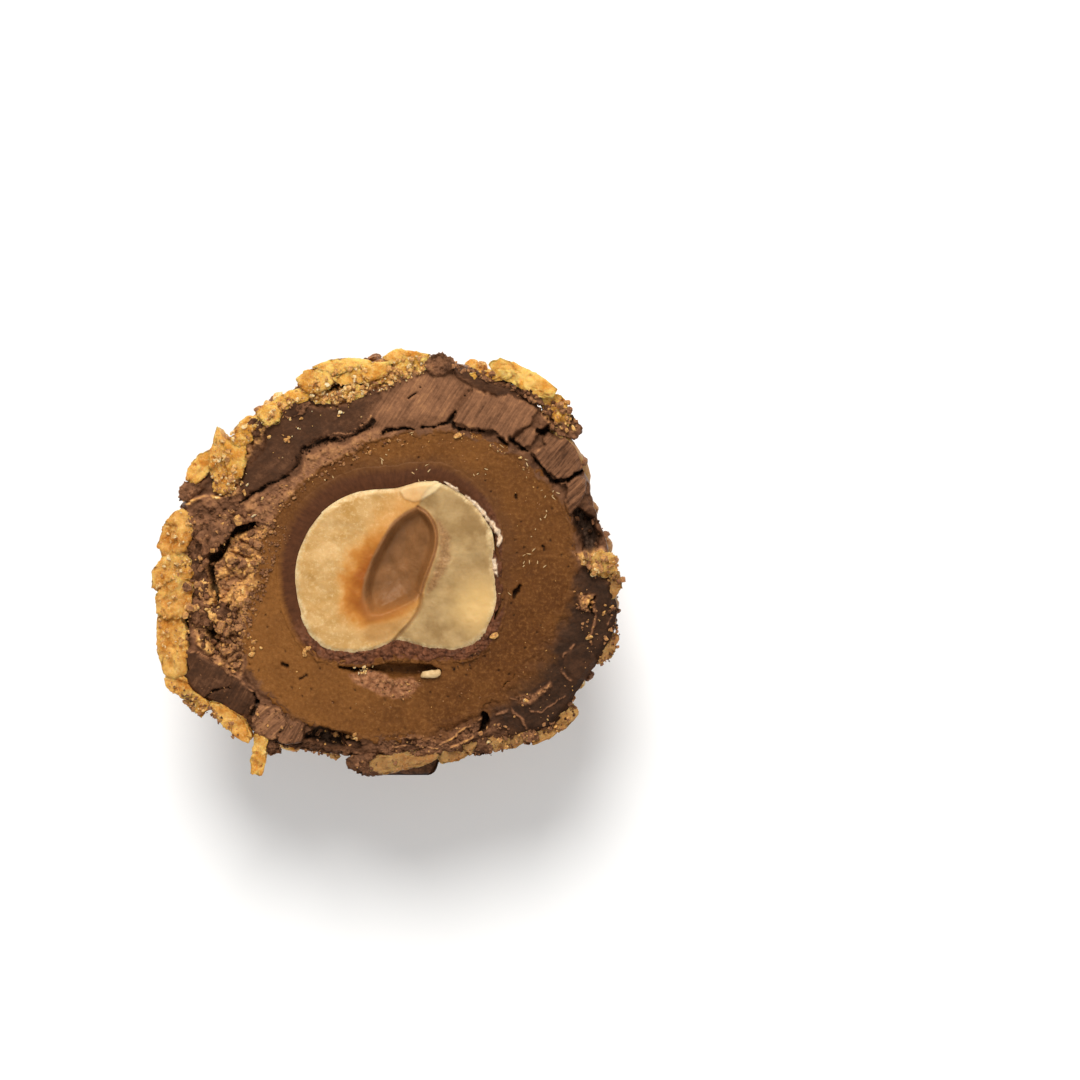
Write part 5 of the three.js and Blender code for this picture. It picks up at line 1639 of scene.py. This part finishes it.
# %% Chocolate and crumbs of the shell
mat, tree, shader = material("shell_chocolate", 0.5, 0.16)
mottle = mottle_node(tree, 0.9, 5, 0.55, 0.3, 0.7, -0.05, 0.05)
grain = noise_node(tree, 0.24, 5, 0.75)
ribs = noise_node(tree, 0.22, 4, 0.75, painted(tree, "grain", "Vector"))
streak = painted(tree, "streak")
tone = add(
    tree,
    spread(tree, painted(tree, "tone"), 0, 1, 0.04, 0.66),
    mottle,
    spread(tree, grain, 0.3, 0.7, -0.07, 0.07),
    times(tree, streak, spread(tree, ribs, 0.32, 0.68, -0.15, 0.17)),
    # painted highlight: the raised ridges are coloured lighter
    times(tree, painted(tree, "ridge_highlight"), 0.4),
)
chocolate = shade_of_brown(tree, tone)
crumb_tone = add(
    tree,
    spread(tree, painted(tree, "tone"), 0, 1, 0.14, 0.84),
    spread(tree, grain, 0.3, 0.7, -0.16, 0.16),
)
colour = blend(tree, painted(tree, "crumb"), chocolate, shade_of_brown(tree, crumb_tone))
golden = add(
    tree,
    spread(tree, painted(tree, "tone"), 0, 1, 0.5, 0.9),
    spread(tree, grain, 0.3, 0.7, -0.14, 0.1),
    mottle,
)
colour = blend(tree, painted(tree, "wafer"), colour, shade_of_brown(tree, golden))
colour = blend(tree, painted(tree, "amber"), colour, caramel_colour(tree, painted(tree, "light")))
# Painted shade in the cracks: they are coloured dark grey-brown to near black
crack_shade_colour = blend(tree, spread(tree, grain, 0.4, 0.62), srgb(26, 17, 12), srgb(78, 60, 48))
colour = blend(tree, spread(tree, painted(tree, "crack_shade"), 0.1, 0.9, 0.0, 0.85), colour, crack_shade_colour)
coat_mottle = mottle_node(tree, 1.2, 5, 0.55, 0.35, 0.65)
coat_colour = blend(tree, coat_mottle, srgb(88, 54, 32), srgb(120, 78, 46))
colour = blend(tree, painted(tree, "coat"), colour, coat_colour)
tree.links.new(spread(tree, painted(tree, "coat"), 0, 1, 0.5, 0.34), shader.inputs["Roughness"])
relief = add(tree, noise_node(tree, 0.3, 6, 0.75), times(tree, streak, ribs))
dress([shell], mat, colour, relief, 0.12, 0.8)

# %% Wafer
mat, tree, shader = material("wafer", 0.42, 0.3, 0.35, (1.0, 0.55, 0.2), 0.8)
own = painted(tree, "own")
mottle = mottle_node(tree, 1.1, 5, 0.65, 0.4, 0.6)
grain = noise_node(tree, 0.3, 5, 0.8)
pale = blend(tree, own, srgb(224, 162, 82), srgb(250, 202, 108))
toasted = blend(tree, own, srgb(174, 100, 28), srgb(222, 152, 58))
colour = blend(tree, mottle, toasted, pale)
colour = blend(tree, spread(tree, grain, 0.55, 0.7, 0.0, 0.4), colour, srgb(160, 88, 28))
colour = blend(tree, spread(tree, grain, 0.48, 0.34, 0.0, 0.55), colour, srgb(248, 212, 136))
# painted shade: the sunk pores are coloured a little darker
colour = blend(tree, times(tree, painted(tree, "pore"), 0.12), colour, srgb(150, 88, 34))
# a darker, greyer brown on the dull pieces: partly chocolate-covered crust, partly painted shade
dull_and_shade_colour = blend(tree, grain, srgb(172, 126, 84), srgb(96, 64, 42))
colour = blend(tree, times(tree, painted(tree, "dull_and_shade"), 0.75), colour, dull_and_shade_colour)
smear = mottle_node(tree, 1.7, 4, 0.6, 0.66, 0.73)
colour = blend(tree, times(tree, smear, 0.6), colour, srgb(104, 62, 34))
dress([back_flakes, rim_wafers], mat, colour, noise_node(tree, 0.32, 6, 0.82), 0.2, 1.0)

# %% Lumps of chocolate at the rim, and the foot
mat, tree, shader = material("dark_chocolate", 0.42, 0.16)
tone = add(
    tree,
    times(tree, painted(tree, "own"), 0.25),
    mottle_node(tree, 0.8, 5, 0.55, 0.3, 0.7, -0.02, 0.34),
    mottle_node(tree, 0.3, 5, 0.75, 0.3, 0.7, -0.1, 0.18),
)
colour = shade_of_brown(tree, tone)
dress([rim_chocolates, foot], mat, colour, noise_node(tree, 0.4, 6, 0.75), 0.15, 0.8)

# %% Crumbs and flecks
mat, tree, shader = material("crumb", 0.55, 0.15, 0.1, (1.0, 0.5, 0.2), 0.3)
tone = add(tree, painted(tree, "shade"), mottle_node(tree, 0.25, 5, 0.75, 0.3, 0.7, -0.24, 0.24))
dress(crumb_pieces, mat, shade_of_brown(tree, tone), noise_node(tree, 0.22, 5, 0.78), 0.16, 0.9)
mat, tree, shader = material("fleck", 0.45, 0.4)
mottle = mottle_node(tree, 0.4, 4, 0.55, 0.35, 0.65)
pale = blend(tree, mottle, srgb(174, 138, 90), srgb(208, 178, 130))
dress([flecks, fragment], mat, pale, noise_node(tree, 0.3, 5, 0.75), 0.08, 0.8)

# %% Skin of the nut
mat, tree, shader = material("nut_skin", 0.5, 0.14)
streaks = noise_node(tree, 0.22, 4, 0.65, painted(tree, "grain", "Vector"))
grain = noise_node(tree, 0.28, 4, 0.75)
skin_tone = add(tree, spread(tree, streaks, 0.3, 0.7, 0.2, 0.7), spread(tree, grain, 0.3, 0.7, -0.2, 0.2))
skin_colour = blend(tree, skin_tone, srgb(58, 31, 17), srgb(90, 52, 30))
lump_shade = mottle_node(tree, 0.5, 5, 0.7, 0.35, 0.65)
lump_colour = blend(tree, lump_shade, srgb(50, 25, 15), srgb(118, 72, 48))
skin_colour = blend(tree, painted(tree, "lumpy"), skin_colour, lump_colour)
outer = add(tree, painted(tree, "outer"), spread(tree, streaks, 0.3, 0.7, -0.1, 0.1))
soft_edge = spread(tree, outer, 0.48, 0.94)
crisp_edge = spread(tree, outer, 0.7, 0.9)
into_caramel = add(
    tree,
    times(tree, painted(tree, "soft"), soft_edge),
    times(tree, spread(tree, painted(tree, "soft"), 0, 1, 1, 0), crisp_edge),
)
caramel = caramel_colour(tree, painted(tree, "light"))
caramel = blend(tree, times(tree, painted(tree, "inner"), 0.5), caramel, INNER_CARAMEL)
colour = blend(tree, into_caramel, skin_colour, caramel)
# painted shade: the gap behind the pale rim is coloured near black
colour = blend(tree, times(tree, painted(tree, "gap"), 0.9), colour, srgb(34, 16, 9))
pale_colour = blend(tree, spread(tree, grain, 0.35, 0.65), srgb(188, 150, 112), srgb(232, 212, 184))
colour = blend(tree, painted(tree, "pale"), colour, pale_colour)
relief = add(tree, noise_node(tree, 0.26, 5, 0.75), times(tree, streaks, 0.4))
dress([skin], mat, colour, relief, 0.05, 0.5)

# %% Caramel filling
mat, tree, shader = material("caramel", 0.45, 0.12, 0.1, (1.0, 0.5, 0.2), 0.6)
colour = caramel_colour(tree, painted(tree, "light"))
colour = blend(tree, times(tree, painted(tree, "inner"), 0.5), colour, INNER_CARAMEL)
mottle = mottle_node(tree, 0.3, 5, 0.7, 0.35, 0.65)
pinkish = blend(tree, mottle, srgb(112, 68, 42), srgb(172, 120, 82))
colour = blend(tree, painted(tree, "pink"), colour, pinkish)
# painted shade in the pits, slits and cracks
colour = blend(tree, times(tree, painted(tree, "pit_shade"), 0.9), colour, srgb(34, 18, 10))
dress([filling], mat, colour, noise_node(tree, 0.26, 6, 0.8), 0.09, 0.8)

# %% The nut
mat, tree, shader = material("nut", 0.45, 0.25, 0.3, (1.0, 0.65, 0.35), 1.2)
mottle = mottle_node(tree, 1.6, 4, 0.6, 0.35, 0.65)
grain = noise_node(tree, 0.3, 5, 0.75)
colour = blend(tree, mottle, srgb(172, 130, 70), srgb(194, 156, 102))
colour = blend(tree, spread(tree, grain, 0.5, 0.72, 0.0, 0.45), colour, srgb(228, 200, 150))
right_colour = blend(tree, mottle, srgb(138, 108, 66), srgb(172, 142, 96))
right_colour = blend(tree, painted(tree, "warm"), right_colour, srgb(198, 162, 104))
colour = blend(tree, painted(tree, "right"), colour, right_colour)
# painted highlight: a pale band along the nut's edge
edge_highlight_share = times(tree, painted(tree, "edge_highlight"), spread(tree, grain, 0.35, 0.6, 0.15, 0.9))
colour = blend(tree, edge_highlight_share, colour, srgb(222, 194, 146))
colour = blend(tree, times(tree, painted(tree, "lobe"), 0.75), colour, srgb(156, 114, 64))
colour = blend(tree, times(tree, painted(tree, "wedge"), 0.9), colour, srgb(218, 190, 142))
speckles = mottle_node(tree, 0.26, 4, 0.75, 0.35, 0.65)
speckled = blend(tree, speckles, srgb(120, 84, 50), srgb(158, 118, 76))
colour = blend(tree, times(tree, painted(tree, "stripe"), 0.85), colour, speckled)
colour = blend(tree, spread(tree, painted(tree, "toast"), 0.0, 0.6), colour, srgb(192, 128, 52))
colour = blend(tree, spread(tree, painted(tree, "toast"), 0.3, 1.0), colour, srgb(140, 74, 18))
hollow_colour = blend(tree, mottle, srgb(112, 74, 40), srgb(136, 92, 54))
# painted light in the hollow: lighter towards its bottom and along its right edge
hollow_colour = blend(tree, times(tree, painted(tree, "hollow_painted_light"), 0.7), hollow_colour, srgb(168, 108, 52))
colour = blend(tree, painted(tree, "hollow"), colour, hollow_colour)
# painted shade along the creases
colour = blend(tree, times(tree, painted(tree, "crease"), 0.5), colour, srgb(108, 68, 36))
dress([nut], mat, colour, noise_node(tree, 0.35, 5, 0.7), 0.05, 0.5)

# %% [markdown]
# ## Attaching the pieces to the body
# Each piece rides on the praline's one body. The four spun layers take the place of
# the four plain solids.

# %% Attach each piece to the body and hide the plain solids
SHELL_PIECES = (shell, back_flakes, rim_wafers, rim_chocolates, foot, *crumb_pieces)
for piece in SHELL_PIECES + (filling, flecks, fragment, skin, nut):
    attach(piece, "root")
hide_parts("wafer_and_chocolate_shell")
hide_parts("caramel_filling")
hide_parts("nut_skin")
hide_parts("hazelnut")

# %% [markdown]
# ## Table, light and camera
# A pale table, a large soft light from above the top of the picture with a weaker one from the lower
# right, and a long lens that looks down on the cut face, a little from its +Y side.

# %% Table
TABLE_COLOUR = (0.92, 0.92, 0.915, 1)

bpy.ops.object.select_all(action="DESELECT")
bpy.ops.mesh.primitive_plane_add(size=3.0, location=(0, 0, 0))
table = bpy.context.active_object
table.name = "table"
mat, tree, shader = material("table", 0.9, 0.1)
shader.inputs["Base Color"].default_value = TABLE_COLOUR
table.data.materials.append(mat)

# %% Lights
LIGHT_TARGET = Vector((0, 0, 12)) * MM
WORLD_STRENGTH = 0.46


def soft_light(name, place, size, watts, colour):
    data = bpy.data.lights.new(name, "AREA")
    data.shape = "DISK"
    data.size = size * MM
    data.energy = watts
    data.color = colour
    light = add_object(name, data)
    light.location = Vector(place) * MM
    aim = LIGHT_TARGET - light.location
    light.rotation_euler = aim.to_track_quat("-Z", "Y").to_euler()


soft_light("key", (-20, 230, 270), 180, 1.4, (1.0, 0.985, 0.96))
soft_light("fill", (160, -160, 300), 320, 0.35, (1.0, 1.0, 1.0))
world = bpy.data.worlds.new("studio")
bpy.context.scene.world = world
world.use_nodes = True
world.node_tree.nodes["Background"].inputs["Color"].default_value = (1, 1, 1, 1)
world.node_tree.nodes["Background"].inputs["Strength"].default_value = WORLD_STRENGTH
bpy.context.scene.view_settings.view_transform = "Standard"

# %% Camera
AIM = Vector((10.3, 1.75, CUT)) * MM
WIDTH_SEEN = 72.5 * MM
CAMERA_TILT = math.radians(5.5)
camera_data = bpy.data.cameras.new("camera")
camera_data.lens = 100
camera_data.sensor_width = 36
camera = add_object("camera", camera_data)
distance = WIDTH_SEEN * camera_data.lens / camera_data.sensor_width
camera.location = AIM + Vector((0, math.sin(CAMERA_TILT), math.cos(CAMERA_TILT))) * distance
camera.rotation_euler = (-CAMERA_TILT, 0, 0)
camera_data.clip_start = 0.01
bpy.context.scene.camera = camera
